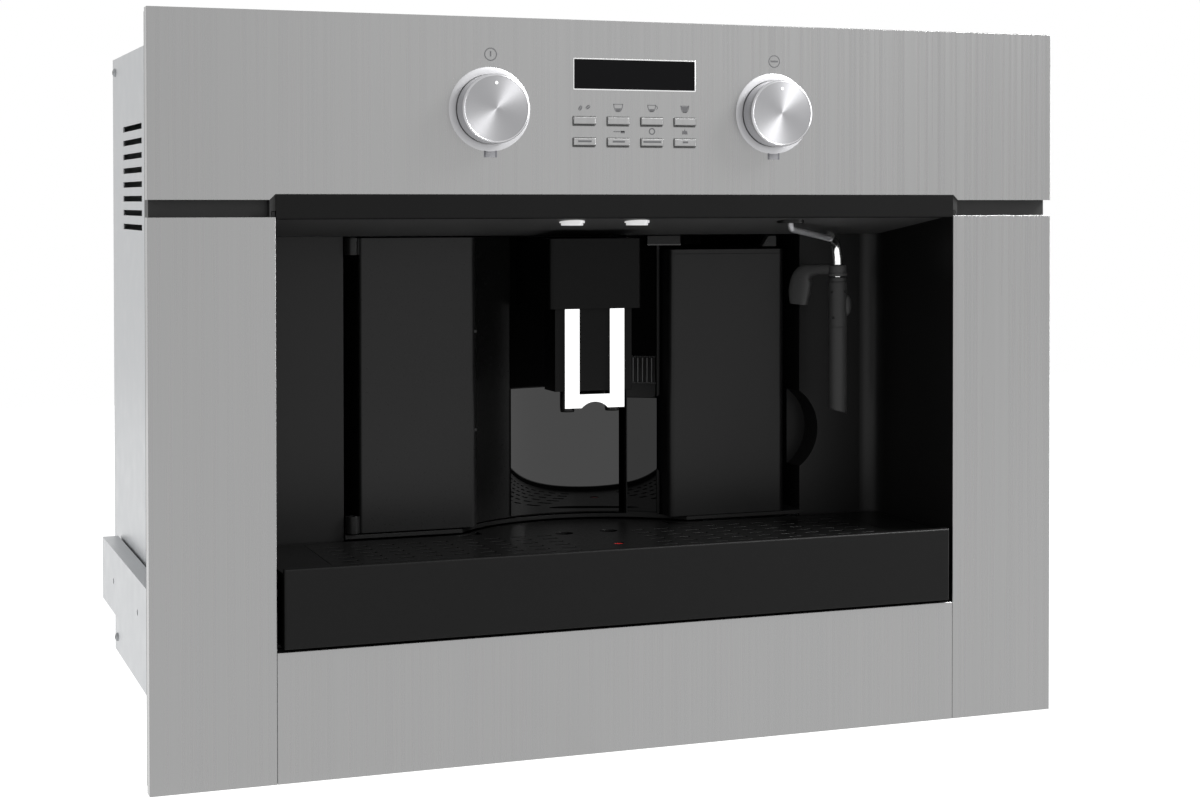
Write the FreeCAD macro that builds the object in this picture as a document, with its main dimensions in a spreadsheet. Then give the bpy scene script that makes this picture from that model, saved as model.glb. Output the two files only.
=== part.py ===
import FreeCAD, Part

import os
from math import cos, tan

import Sketcher

# Built-in coffee machine for a 560 x 450 mm cabinet niche, in millimetres.
# x runs to the right, y into the cabinet and z up. The origin is on the cabinet's front plane, where the back
# of the front frame rests, on the centre line and level with the niche floor.

SIZES = (
    # fascia and its sheets
    ("fascia_w", 595.0),
    ("fascia_ht", 455.0),
    ("fascia_drop", 3.0),
    ("fascia_depth", 22.0),
    ("sheet", 1.0),
    ("fold", 10.0),
    ("seam", 0.3),
    ("column_w", 73.5),
    ("panel_ht", 111.0),
    ("rail_rise", 3.4),
    ("band_gap", 10.2),
    ("band_depth", 6.0),
    ("rail_ht", 15.0),
    ("rail_depth", 10.0),
    ("lower_panel_ht", 77.5),
    ("frame_inset", 1.4),
    ("frame_wall", 3.0),
    ("frame_bearing", 37.0),
    ("frame_foot", 12.0),
    # controls
    ("knob_spacing", 187.6),
    ("control_drop", 56.0),
    ("knob_r", 21.0),
    ("knob_proud", 15.0),
    ("knob_gap", 1.0),
    ("knob_bevel", 1.6),
    ("shaft_r", 3.0),
    ("shaft_fit", 0.05),
    ("display_w", 80.0),
    ("display_ht", 18.5),
    ("display_drop", 33.25),
    ("button_w", 15.0),
    ("button_ht", 5.0),
    ("button_pitch", 22.2),
    ("button_drop", 61.9),
    ("button_rows", 13.1),
    ("button_proud", 1.2),
    ("button_travel", 1.0),
    ("board_w", 240.0),
    ("board_t", 1.6),
    ("module_t", 8.0),
    # recess
    ("recess_depth", 115.0),
    ("face_step", 5.0),
    ("liner_t", 2.0),
    ("liner_r", 13.0),
    ("ceiling_drop", 12.4),
    ("ceiling_t", 2.0),
    ("lamp_r", 8.0),
    ("lamp_pitch", 43.6),
    ("lamp_x", -9.5),
    ("lamp_y", 8.0),
    # drip tray
    ("tray_reveal", 2.0),
    ("tray_front_ht", 47.5),
    ("tray_front_t", 5.0),
    ("tray_proud", 3.0),
    ("tray_side_gap", 4.0),
    ("lip_rise", 3.0),
    ("basin_half", 190.0),
    ("basin_depth", 42.0),
    ("tray_wall", 3.0),
    ("rim_t", 2.2),
    ("grate_t", 3.3),
    ("slot_l", 10.0),
    ("slot_w", 4.0),
    ("slot_pitch", 17.5),
    ("slot_rows", 13.0),
    ("outlet_r", 6.0),
    ("float_r", 11.0),
    ("float_stem_r", 3.2),
    ("float_lift", 6.0),
    # service door, niche and spout
    ("bay_gap", 9.0),
    ("door_left", 149.5),
    ("door_block_w", 80.0),
    ("door_right", 39.8),
    ("door_depth", 45.0),
    ("door_wall", 3.0),
    ("door_heel", 8.0),
    ("door_gap", 1.0),
    ("niche_x", -1.5),
    ("niche_r", 98.0),
    ("niche_depth", 41.0),
    ("niche_seam", 4.5),
    ("niche_panel_t", 1.2),
    ("niche_panel_left", 36.0),
    ("niche_panel_gap", 3.0),
    ("pin_r", 3.0),
    ("lug_r", 4.5),
    ("lug_ht", 11.0),
    ("spout_w", 63.5),
    ("spout_ht", 46.0),
    ("spout_reach", 40.0),
    ("spout_wall", 2.5),
    ("carriage_w", 53.0),
    ("carriage_depth", 25.0),
    ("spout_hang", 54.0),
    ("spout_travel", 35.0),
    ("outlet_pitch", 31.0),
    ("nozzle_r", 4.5),
    ("nozzle_l", 14.0),
    ("trim_w", 10.0),
    ("trim_t", 2.4),
    ("bridge_ht", 5.0),
    # water tank
    ("tank_left", 65.1),
    ("tank_w", 85.7),
    ("tank_head", 13.2),
    ("tank_depth", 188.0),
    ("tank_wall", 2.5),
    ("tank_lid_t", 3.0),
    ("tank_side_gap", 1.6),
    ("bay_right", 164.5),
    ("scoop_r", 32.0),
    ("scoop_z", 181.0),
    ("scoop_reach", 14.0),
    ("bay_depth", 192.0),
    # steam wand
    ("wand_x", 119.5),
    ("wand_y", 8.0),
    ("wand_tube_r", 2.0),
    ("wand_elbow_r", 3.4),
    ("wand_reach_x", 55.4),
    ("wand_reach_y", 45.0),
    ("wand_stub_drop", 7.4),
    ("wand_knee_drop", 16.4),
    ("elbow_bend", 9.0),
    ("sleeve_r", 6.5),
    ("sleeve_drop", 40.9),
    ("sleeve_l", 94.5),
    ("wand_tip_drop", 89.4),
    ("socket_r", 9.0),
    # housing, runners and what they hold
    ("niche_w", 560.0),
    ("body_depth", 390.0),
    ("body_low", 3.0),
    ("body_head", 6.0),
    ("body_front", -1.5),
    ("cover_t", 1.2),
    ("base_flange", 18.0),
    ("runner_t", 12.7),
    ("runner_ht", 45.0),
    ("runner_l", 350.0),
    ("runner_z", 70.0),
    ("runner_y", 8.0),
    ("runner_gauge", 1.4),
    ("runner_play", 0.4),
    ("runner_hole_r", 2.2),
    ("runner_hole_pitch", 128.0),
    ("runner_hole_y", 37.0),
    ("hopper_w", 130.0),
    ("hopper_depth", 140.0),
    ("hopper_x", -55.0),
    ("hopper_y", 190.0),
    ("grinder_r", 36.0),
    ("adjuster_r", 12.0),
    ("lid_t", 3.0),
    ("lid_knuckle_r", 2.2),
    ("lid_pin_r", 1.0),
    ("boiler_ht", 80.0),
    ("boiler_l", 120.0),
    ("pump_l", 100.0),
    ("unit_head", 43.0),
)


class Size:
    """A length that keeps both its value and the sheet expression that gives it."""

    def __init__(self, value, text=None):
        self.value = float(value)
        self.text = f"({self.value!r})" if text is None else text

    def joined(self, sign, other, value):
        return Size(value, f"({self.text} {sign} {as_size(other).text})")

    def __add__(self, other):
        return self.joined("+", other, self.value + as_size(other).value)

    def __sub__(self, other):
        return self.joined("-", other, self.value - as_size(other).value)

    def __mul__(self, other):
        return self.joined("*", other, self.value * as_size(other).value)

    def __truediv__(self, other):
        return self.joined("/", other, self.value / as_size(other).value)

    def __radd__(self, other):
        return as_size(other) + self

    def __rsub__(self, other):
        return as_size(other) - self

    def __rmul__(self, other):
        return as_size(other) * self

    def __neg__(self):
        return Size(0) - self

    def __float__(self):
        return self.value


def as_size(length):
    return length if isinstance(length, Size) else Size(length)


class Sheet:
    """The driving sizes, read back from the spreadsheet by name."""

    def __init__(self, doc, rows):
        self.table = doc.addObject("Spreadsheet::Sheet", "sizes")
        for row, (alias, value) in enumerate(rows, 1):
            self.table.set(f"A{row}", alias)
            self.table.set(f"B{row}", str(value))
            self.table.setAlias(f"B{row}", alias)
        doc.recompute()

    def __getattr__(self, alias):
        return Size(self.table.get(alias), f"sizes.{alias}")


doc = FreeCAD.newDocument("coffee_machine")
s = Sheet(doc, SIZES)
nodes = {}

# Levels and planes that several pieces share.
half_w = s.fascia_w / 2
front = -s.fascia_depth
sheet_back = front + s.sheet
fascia_low = -s.fascia_drop
fascia_top = s.fascia_ht - s.fascia_drop
open_half = half_w - s.column_w
panel_low = fascia_top - s.panel_ht
column_top = panel_low - s.band_gap
rail_top = panel_low + s.rail_rise
rail_low = rail_top - s.rail_ht
lower_panel_top = fascia_low + s.lower_panel_ht
tray_low = lower_panel_top + s.tray_reveal
lip_top = tray_low + s.tray_front_ht
deck = lip_top - s.lip_rise
recess_back = s.recess_depth - s.fascia_depth
face = recess_back - s.face_step
ceiling_back = rail_low + 0.5 - s.ceiling_drop
floor_low = deck + 1
floor_top = floor_low + 2.5
niche_back = face + s.niche_depth
niche_y = niche_back - s.niche_r
bay_left = -(s.door_left + s.bay_gap)
bay_back = face + s.bay_depth
strip_left = s.door_right + s.niche_seam
wall_b = s.tank_left - s.tank_side_gap
body_half = s.niche_w / 2 - s.runner_t
body_top = fascia_top - s.body_head


# ---- tools of the trade: sketches, features and primitives tied to the sheet ----

PLANES = {"XY": ("XY_Plane", 1), "XZ": ("XZ_Plane", -1), "YZ": ("YZ_Plane", 1)}


def bind(item, path, length):
    item.setExpression(path, as_size(length).text)


def keep(name, item):
    """Names a finished piece and lists it as a node."""
    item.Label = name
    nodes[name] = item
    return item


def new_body(name):
    return doc.addObject("PartDesign::Body", name + "_body")


def new_sketch(body, plane, level):
    """A sketch on one of the body's own origin planes, at a level along that plane's axis."""
    role, sign = PLANES[plane]
    sketch = body.newObject("Sketcher::SketchObject", body.Name + "_sketch")
    plane_of_body = next(f for f in body.Origin.OriginFeatures if f.Role == role)
    sketch.AttachmentSupport = [(plane_of_body, "")]
    sketch.MapMode = "FlatFace"
    bind(sketch, "AttachmentOffset.Base.z", as_size(level) * sign)
    return sketch


def pin_point(sketch, geometry, end, u, v):
    """Holds one point of the sketch at (u, v) from its origin."""
    for kind, length in (("DistanceX", as_size(u)), ("DistanceY", as_size(v))):
        index = sketch.addConstraint(Sketcher.Constraint(kind, -1, 1, geometry, end, length.value))
        bind(sketch, f"Constraints[{index}]", length)


def vector(u, v):
    return FreeCAD.Vector(float(u), float(v), 0)


def polygon(sketch, points):
    """A closed outline of straight lines through the points."""
    first = sketch.GeometryCount
    count = len(points)
    for i, (u, v) in enumerate(points):
        nxt = points[(i + 1) % count]
        sketch.addGeometry(Part.LineSegment(vector(u, v), vector(*nxt)), False)
    for i, (u, v) in enumerate(points):
        sketch.addConstraint(Sketcher.Constraint("Coincident", first + i, 2, first + (i + 1) % count, 1))
        pin_point(sketch, first + i, 1, u, v)


def rectangle(sketch, u0, u1, v0, v1):
    polygon(sketch, [(u0, v0), (u1, v0), (u1, v1), (u0, v1)])


def circle(sketch, u, v, radius):
    radius = as_size(radius)
    index = sketch.addGeometry(Part.Circle(vector(u, v), FreeCAD.Vector(0, 0, 1), radius.value), False)
    pin_point(sketch, index, 3, u, v)
    held = sketch.addConstraint(Sketcher.Constraint("Radius", index, radius.value))
    bind(sketch, f"Constraints[{held}]", radius)


def bow(sketch, u, v, radius, chord):
    """The part of a disc that lies beyond the line v = chord."""
    radius = as_size(radius)
    reach = (radius.value**2 - (float(chord) - float(v)) ** 2) ** 0.5
    right = vector(float(u) + reach, chord)
    left = vector(float(u) - reach, chord)
    top = vector(u, float(v) + radius.value)
    arc = sketch.addGeometry(Part.Arc(right, top, left), False)
    line = sketch.addGeometry(Part.LineSegment(left, right), False)
    pin_point(sketch, arc, 3, u, v)
    held = sketch.addConstraint(Sketcher.Constraint("Radius", arc, radius.value))
    bind(sketch, f"Constraints[{held}]", radius)
    sketch.addConstraint(Sketcher.Constraint("Coincident", arc, 2, line, 1))
    sketch.addConstraint(Sketcher.Constraint("Coincident", line, 2, arc, 1))
    for end in (1, 2):
        index = sketch.addConstraint(Sketcher.Constraint("DistanceY", -1, 1, arc, end, float(chord)))
        bind(sketch, f"Constraints[{index}]", chord)


def pad(body, plane, low, high, draw, *sizes):
    """Adds what draw outlines, from level low to level high along the plane's axis."""
    sketch = new_sketch(body, plane, low)
    draw(sketch, *sizes)
    feature = body.newObject("PartDesign::Pad", body.Name + "_pad")
    feature.Profile = sketch
    bind(feature, "Length", as_size(high) - low)
    feature.Reversed = plane == "XZ"
    return feature


def pocket(body, plane, low, high, draw, *sizes):
    """Cuts what draw outlines, from level low to level high along the plane's axis."""
    sketch = new_sketch(body, plane, low if plane == "XZ" else high)
    draw(sketch, *sizes)
    feature = body.newObject("PartDesign::Pocket", body.Name + "_pocket")
    feature.Profile = sketch
    bind(feature, "Length", as_size(high) - low)
    return feature


def near(a, b):
    return abs(float(a) - float(b)) < 0.05


def upright_at(x, y):
    """Picks the upright edges that stand at (x, y)."""

    def picks(edge):
        box = edge.BoundBox
        thin = box.XLength < 0.01 and box.YLength < 0.01
        return thin and near(box.XMin, x) and near(box.YMin, y)

    return picks


def along_x_at(y, z):
    """Picks the edges along x that lie at (y, z)."""

    def picks(edge):
        box = edge.BoundBox
        thin = box.YLength < 0.01 and box.ZLength < 0.01
        return thin and near(box.YMin, y) and near(box.ZMin, z)

    return picks


def along_y_at(x, z):
    """Picks the edges along y that lie at (x, z)."""

    def picks(edge):
        box = edge.BoundBox
        thin = box.XLength < 0.01 and box.ZLength < 0.01
        return thin and near(box.XMin, x) and near(box.ZMin, z)

    return picks


def dress(body, kind, size_name, size, *tests):
    """A fillet or chamfer on the edges of the body's last feature that any of the tests picks."""
    doc.recompute()
    base = body.Tip
    edges = [
        f"Edge{i}" for i, edge in enumerate(base.Shape.Edges, 1) if any(test(edge) for test in tests)
    ]
    if not edges:
        raise ValueError(f"{body.Name}: no edge to round")
    feature = body.newObject("PartDesign::" + kind, body.Name + "_" + kind.lower())
    feature.Base = (base, edges)
    bind(feature, size_name, size)
    return feature


def fillet(body, radius, *tests):
    return dress(body, "Fillet", "Radius", radius, *tests)


def chamfer(body, size, *tests):
    return dress(body, "Chamfer", "Size", size, *tests)


def shell(body, wall, axis, level):
    """Hollows the body to a wall, open at its flat face at that level of the axis."""
    doc.recompute()
    base = body.Tip

    def is_open(one):
        box = one.BoundBox
        low, high = getattr(box, axis + "Min"), getattr(box, axis + "Max")
        return near(low, level) and near(high, level)

    feature = body.newObject("PartDesign::Thickness", body.Name + "_shell")
    feature.Base = (base, [f"Face{i}" for i, one in enumerate(base.Shape.Faces, 1) if is_open(one)])
    bind(feature, "Value", wall)
    feature.Reversed = True
    feature.Join = 1
    return feature


def revolve(body, axis_u, axis_v, points):
    """Turns a closed profile, drawn as (radius, level), about the y axis line through (axis_u, axis_v)."""
    sketch = new_sketch(body, "XY", axis_v)
    polygon(sketch, [(axis_u + radius, level) for radius, level in points])
    line = sketch.addGeometry(Part.LineSegment(vector(axis_u, -50), vector(axis_u, 0)), True)
    pin_point(sketch, line, 1, axis_u, -50)
    pin_point(sketch, line, 2, axis_u, 0)
    feature = body.newObject("PartDesign::Revolution", body.Name + "_turned")
    feature.Profile = sketch
    feature.ReferenceAxis = (sketch, ["Axis0"])
    feature.Angle = 360
    return feature


def block(name, x0, x1, y0, y1, z0, z1):
    """A plain box between two corners."""
    box = doc.addObject("Part::Box", name)
    for prop, low, high, where in (("Length", x0, x1, "x"), ("Width", y0, y1, "y"), ("Height", z0, z1, "z")):
        bind(box, prop, as_size(high) - low)
        bind(box, "Placement.Base." + where, low)
    return box


def rod(name, axis, u, v, low, high, radius):
    """A round bar along an axis: (u, v) are the two other coordinates, in x, y, z order."""
    bar = doc.addObject("Part::Cylinder", name)
    bind(bar, "Radius", radius)
    bind(bar, "Height", as_size(high) - low)
    turn = {"X": ((0, 1, 0), 90), "Y": ((1, 0, 0), -90), "Z": ((0, 0, 1), 0)}[axis]
    bar.Placement.Rotation = FreeCAD.Rotation(FreeCAD.Vector(*turn[0]), turn[1])
    places = {"X": (low, u, v), "Y": (u, low, v), "Z": (u, v, low)}[axis]
    for where, place in zip("xyz", places):
        bind(bar, "Placement.Base." + where, place)
    return bar


def joined(name, *shapes):
    fused = doc.addObject("Part::MultiFuse", name)
    fused.Shapes = list(shapes)
    return fused


def cut(name, base, tool):
    made = doc.addObject("Part::Cut", name)
    made.Base = base
    made.Tool = tool
    return made


def common(name, *shapes):
    made = doc.addObject("Part::MultiCommon", name)
    made.Shapes = list(shapes)
    return made


def mirrored(name, source):
    """The same piece on the other side of the centre line."""
    twin = doc.addObject("Part::Mirroring", name)
    twin.Source = source
    twin.Normal = FreeCAD.Vector(1, 0, 0)
    return twin


def grouped(name, *shapes):
    group = doc.addObject("Part::Compound", name)
    group.Links = list(shapes)
    return group


# ---- telescopic runners: three rolled channels a side, one inside the other ----


def channel(name, web_out, web_in, tip, half_ht, play):
    """A U-shaped steel channel: its web lies between web_out and web_in, its flanges reach to tip."""
    body = new_body(name)
    top = s.runner_z + half_ht
    low = s.runner_z - half_ht
    points = [
        (web_out, low),
        (web_out, top),
        (tip, top),
        (tip, top - s.runner_gauge),
        (web_in, top - s.runner_gauge),
        (web_in, low + s.runner_gauge),
        (tip, low + s.runner_gauge),
        (tip, low),
    ]
    pad(body, "XZ", s.runner_y + play, s.runner_y + s.runner_l, polygon, points)
    return body


wall_x = s.niche_w / 2
outer_web = wall_x - s.runner_gauge
middle_out = outer_web - s.runner_play
middle_web = middle_out - s.runner_gauge
outer_half = s.runner_ht / 2
middle_half = outer_half - s.runner_gauge - s.runner_play
inner_half = middle_half - s.runner_gauge - s.runner_play
inner_web = body_half + s.runner_gauge

outer = channel("outer_runner", wall_x, outer_web, body_half + 1.5, outer_half, 0)
hole_y = s.runner_hole_y + s.runner_hole_pitch
for step in (-1, 0, 1):
    pocket(outer, "YZ", outer_web - 1, wall_x + 1, circle, hole_y + step * s.runner_hole_pitch,
           s.runner_z, s.runner_hole_r)
middle = channel("middle_runner", middle_out, middle_web, body_half + 1.5, middle_half, 1)
inner = channel("inner_runner", body_half, inner_web, middle_web - s.runner_play, inner_half, 2)
for name, body in (("outer_runners", outer), ("middle_runners", middle), ("inner_runners", inner)):
    keep(name, grouped(name, body, mirrored(name + "_twin", body)))


# ---- front frame: black carrier that the sheets are fixed to ----

frame_half = half_w - s.frame_inset
frame_low = fascia_low + s.frame_inset
frame_top = fascia_top - s.frame_inset
window_half = open_half + s.liner_t + 0.3
window_top = rail_low + 5
inner_half_x = frame_half - s.frame_bearing
board_half = s.board_w / 2

frame = new_body("front_frame")
pad(frame, "XZ", sheet_back, 0, rectangle, -frame_half, frame_half, frame_low, frame_top)
pocket(frame, "XZ", sheet_back - 1, 1, rectangle, -window_half, window_half, lower_panel_top, window_top)
rear_of_wall = sheet_back + s.frame_wall
for side in (-1, 1):
    near_x = window_half + s.frame_wall
    lows = (near_x, inner_half_x) if side > 0 else (-inner_half_x, -near_x)
    pocket(frame, "XZ", rear_of_wall, 1, rectangle, *lows, frame_low + s.frame_foot, column_top - s.band_depth)
    ends = (window_half + 1, frame_half + 1) if side > 0 else (-frame_half - 1, -window_half - 1)
    pocket(frame, "XZ", sheet_back - 1, sheet_back + s.band_depth, rectangle, *ends, column_top, panel_low)
pocket(frame, "XZ", rear_of_wall, 1, rectangle, -inner_half_x, inner_half_x,
       panel_low + s.frame_wall, frame_top - s.frame_wall)
pocket(frame, "XZ", rear_of_wall, 1, rectangle, -inner_half_x, inner_half_x,
       frame_low + s.frame_foot, lower_panel_top - s.frame_wall)
board_low = fascia_top - s.button_drop - s.button_rows - 12
board_high = fascia_top - s.display_drop + s.display_ht / 2 + 10
cutout_half = s.knob_spacing / 2 - s.knob_r - 6
pocket(frame, "XZ", sheet_back - 1, rear_of_wall + 1, rectangle, -cutout_half, cutout_half,
       board_low - 1, board_high + 1)
board_front = front + 11
for side in (-1, 1):
    shaft_x = side * s.knob_spacing / 2
    pocket(frame, "XZ", sheet_back - 1, rear_of_wall + 1, circle, shaft_x, fascia_top - s.control_drop, s.shaft_r + 3)
    for z in (board_low + 6, board_high - 6):
        pad(frame, "XZ", rear_of_wall, board_front, circle, side * (board_half - 6), z, 3)
pocket(frame, "XZ", s.body_front, 1, rectangle, -body_half - 0.5, body_half + 0.5, s.body_low - 0.5, body_top + 0.5)
keep("front_frame", frame)


# ---- steel sheets: folded back along the fascia's outer edge only ----


def folded_sheet(name, points, x0, x1, z0, z1):
    """A sheet with the given outline. Its folds stay where the hollow x0..x1, z0..z1 stops short of the edge."""
    body = new_body(name)
    pad(body, "XZ", front, front + s.fold, polygon, points)
    pocket(body, "XZ", sheet_back, front + s.fold + 1, rectangle, x0, x1, z0, z1)
    return body


def corners(x0, x1, z0, z1):
    return [(x0, z0), (x1, z0), (x1, z1), (x0, z1)]


step = open_half + s.rail_rise
panel_outline = [
    (-half_w, fascia_top),
    (-half_w, panel_low),
    (-step, panel_low),
    (-open_half, rail_top),
    (open_half, rail_top),
    (step, panel_low),
    (half_w, panel_low),
    (half_w, fascia_top),
]
panel = folded_sheet("control_panel", panel_outline, -half_w + s.sheet, half_w - s.sheet,
                     panel_low - 1, fascia_top - s.sheet)
control_z = fascia_top - s.control_drop
knob_x = s.knob_spacing / 2
display_z = fascia_top - s.display_drop
button_x = [s.button_pitch * (column - 1.5) for column in range(4)]
button_z = [fascia_top - s.button_drop - s.button_rows * row for row in range(2)]
pocket(panel, "XZ", front - 1, sheet_back + 1, rectangle, -s.display_w / 2, s.display_w / 2,
       display_z - s.display_ht / 2, display_z + s.display_ht / 2)
for side in (-1, 1):
    pocket(panel, "XZ", front - 1, sheet_back + 1, circle, side * knob_x, control_z, s.shaft_r + 1)
for x in button_x:
    for z in button_z:
        pocket(panel, "XZ", front - 1, sheet_back + 1, rectangle, x - s.button_w / 2, x + s.button_w / 2,
               z - s.button_ht / 2, z + s.button_ht / 2)
keep("control_panel", panel)

keep("left_column", folded_sheet("left_column", corners(-half_w, -open_half, fascia_low, column_top),
                                 -half_w + s.sheet, -open_half + 1, fascia_low + s.sheet, column_top + 1))
keep("right_column", folded_sheet("right_column", corners(open_half, half_w, fascia_low, column_top),
                                  open_half - 1, half_w - s.sheet, fascia_low + s.sheet, column_top + 1))
low_half = open_half - s.seam
keep("lower_panel", folded_sheet("lower_panel", corners(-low_half, low_half, fascia_low, lower_panel_top),
                                 -low_half - 1, low_half + 1, fascia_low + s.sheet, lower_panel_top + 1))

# ---- lip rail: black strip over the recess, hooked under the frame's window ----

rail = new_body("lip_rail")
rail_half = open_half - s.seam
rail_back = front + s.rail_depth
rail_step = window_top - 0.2
rail_profile = [
    (front, rail_low),
    (rail_back, rail_low),
    (rail_back, rail_step),
    (sheet_back, rail_step),
    (sheet_back, rail_top - s.seam),
    (front, rail_top - s.seam),
]
pad(rail, "YZ", -rail_half, rail_half, polygon, rail_profile)
fillet(rail, 1.5, along_x_at(front, rail_low))
chamfer(rail, 0.8, along_y_at(-rail_half, rail_top - s.seam), along_y_at(rail_half, rail_top - s.seam))
keep("lip_rail", rail)


# ---- controls: display, board, buttons, knobs and what they turn ----

module_front = board_front - s.module_t
window = new_body("display_window")
pad(window, "XZ", front + 0.1, module_front, rectangle, -s.display_w / 2 + 0.15, s.display_w / 2 - 0.15,
    display_z - s.display_ht / 2 + 0.15, display_z + s.display_ht / 2 - 0.15)
keep("display_window", window)

module = new_body("display_module")
pad(module, "XZ", module_front, board_front, rectangle, -s.display_w / 2 - 7, s.display_w / 2 + 7,
    display_z - s.display_ht / 2 - 4, display_z + s.display_ht / 2 + 4)
pocket(module, "XZ", module_front - 1, module_front + 0.6, rectangle, -s.display_w / 2 + 4, s.display_w / 2 - 4,
       display_z - s.display_ht / 2 + 3, display_z + s.display_ht / 2 - 3)
keep("display_module", module)

board = new_body("control_board")
board_back = board_front + s.board_t
pad(board, "XZ", board_front, board_back, rectangle, -board_half, board_half, board_low, board_high)
switch_front = board_front - 2
for x in button_x:
    for z in button_z:
        pad(board, "XZ", switch_front, board_front, rectangle, x - 3, x + 3, z - 3, z + 3)
for side in (-1, 1):
    pocket(board, "XZ", board_front - 1, board_back + 1, circle, side * knob_x, control_z, s.shaft_r + 1)
keep("control_board", board)

shaft_end = board_back + 5
encoder = new_body("selector_encoder")
pad(encoder, "XZ", board_back, board_back + 9, rectangle, -knob_x - 7, -knob_x + 7, control_z - 7, control_z + 7)
pocket(encoder, "XZ", board_back - 1, board_back + 10, circle, -knob_x, control_z, s.shaft_r + s.shaft_fit)
keep("selector_encoder", encoder)

tap = new_body("steam_tap")
pad(tap, "XZ", board_back, board_back + 26, circle, knob_x, control_z, 12)
pad(tap, "XZ", board_back + 20, board_back + 26, rectangle, knob_x - 16, knob_x + 16, control_z - 5, control_z + 5)
pocket(tap, "XZ", board_back - 1, board_back + 8, circle, knob_x, control_z, s.shaft_r + s.shaft_fit)
keep("steam_tap", tap)


def knob(name, x):
    """A turned aluminium knob with a bevelled face, a hollow back, a shaft and an index dimple."""
    body = new_body(name)
    face_y = front - s.knob_proud
    back_y = front - s.knob_gap
    profile = [
        (0, face_y),
        (s.knob_r - s.knob_bevel, face_y),
        (s.knob_r, face_y + s.knob_bevel),
        (s.knob_r, back_y),
        (s.knob_r - 2.5, back_y),
        (s.knob_r - 2.5, face_y + 4),
        (s.shaft_r + 3, face_y + 4),
        (s.shaft_r + 3, back_y),
        (s.shaft_r, back_y),
        (s.shaft_r, shaft_end),
        (0, shaft_end),
    ]
    revolve(body, x, control_z, profile)
    pocket(body, "XZ", face_y - 1, face_y + 0.4, circle, x, control_z + s.knob_r - 5.5, 1.1)
    return keep(name, body)


knob("knob_left", -knob_x)
knob("knob_right", knob_x)

for row in range(2):
    for column in range(4):
        name = f"button_{row * 4 + column + 1}"
        x, z = button_x[column], button_z[row]
        button = new_body(name)
        play = 0.25
        pad(button, "XZ", front - s.button_proud, sheet_back + 0.3, rectangle, x - s.button_w / 2 + play,
            x + s.button_w / 2 - play, z - s.button_ht / 2 + play, z + s.button_ht / 2 - play)
        fillet(button, 0.6, along_x_at(front - s.button_proud, z - s.button_ht / 2 + play),
               along_x_at(front - s.button_proud, z + s.button_ht / 2 - play),
               upright_at(x - s.button_w / 2 + play, front - s.button_proud),
               upright_at(x + s.button_w / 2 - play, front - s.button_proud))
        pad(button, "XZ", sheet_back + 0.3, sheet_back + 1.5, rectangle, x - s.button_w / 2 - 1,
            x + s.button_w / 2 + 1, z - s.button_ht / 2 - 1, z + s.button_ht / 2 + 1)
        pad(button, "XZ", sheet_back + 1.5, switch_front - s.button_travel - 0.3, rectangle, x - 2, x + 2,
            z - 2, z + 2)
        keep(name, button)


# ---- recess: liner walls, sloping ceiling and lamps ----

liner_half = open_half
liner_out = liner_half + s.liner_t
liner_low = lower_panel_top + 0.3
liner_front = sheet_back
ceiling_front = rail_low + 0.5


def ceiling_z(y):
    """The underside of the sloping ceiling above a depth y."""
    slope = (ceiling_front - ceiling_back) * (y - rail_back) / (face - rail_back)
    return ceiling_front - slope

def liner(name, side, end):
    """A side wall turned round a soft corner into a short rear wall, with a shelf for the tray's edge."""
    body = new_body(name)
    back_out = recess_back + s.liner_t
    points = [
        (side * liner_out, liner_front),
        (side * liner_out, back_out),
        (end, back_out),
        (end, recess_back),
        (side * liner_half, recess_back),
        (side * liner_half, liner_front),
    ]
    pad(body, "XY", liner_low, window_top - 0.3, polygon, points)
    fillet(body, s.liner_r, upright_at(side * liner_half, recess_back))
    fillet(body, s.liner_r + s.liner_t, upright_at(side * liner_out, back_out))
    inside = sorted((side * liner_half, end - side), key=float)
    over_ceiling = [
        (60, ceiling_z(60)),
        (face, ceiling_back),
        (back_out + 1, ceiling_back),
        (back_out + 1, window_top),
        (60, window_top),
    ]
    pocket(body, "YZ", *inside, polygon, over_ceiling)
    shelf = sorted((side * liner_half, side * (liner_half - 20)), key=float)
    pad(body, "XY", liner_low, liner_low + 2, rectangle, *shelf, -8, face - 8)
    return body


recess_left = liner("recess_left", -1, bay_left)
recess_right = liner("recess_right", 1, s.bay_right)
scoop_right = s.bay_right + s.scoop_reach - s.scoop_r
scoop_left = wall_b - s.scoop_reach + s.scoop_r
pocket(recess_right, "XZ", recess_back - 1, recess_back + s.liner_t + 1, circle, scoop_right, s.scoop_z, s.scoop_r)
keep("recess_walls", grouped("recess_walls", recess_left, recess_right))

ceiling = new_body("recess_ceiling")
ceiling_profile = [
    (rail_back, ceiling_front),
    (face, ceiling_back),
    (bay_back, ceiling_back),
    (bay_back, ceiling_back + s.ceiling_t),
    (face, ceiling_back + s.ceiling_t),
    (rail_back, ceiling_front + s.ceiling_t),
]
pad(ceiling, "YZ", -liner_half + 0.2, liner_half - 0.2, polygon, ceiling_profile)
lamp_places = [s.lamp_x - s.lamp_pitch / 2, s.lamp_x + s.lamp_pitch / 2]
for x in lamp_places:
    pocket(ceiling, "XY", ceiling_back, ceiling_front + 5, circle, x, s.lamp_y, s.lamp_r)
pocket(ceiling, "XY", ceiling_back, ceiling_front + 5, circle, s.wand_x, s.wand_y, s.socket_r)
keep("recess_ceiling", ceiling)


def lamp(x):
    """A round lens: a short barrel in the ceiling with a shallow dome below it."""
    body = new_body("lamp_lens")
    low = ceiling_z(s.lamp_y) - 1
    pad(body, "XY", low, low + 6, circle, x, s.lamp_y, s.lamp_r)
    pad(body, "XY", low - 1.5, low, circle, x, s.lamp_y, s.lamp_r - 1)
    return body


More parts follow.
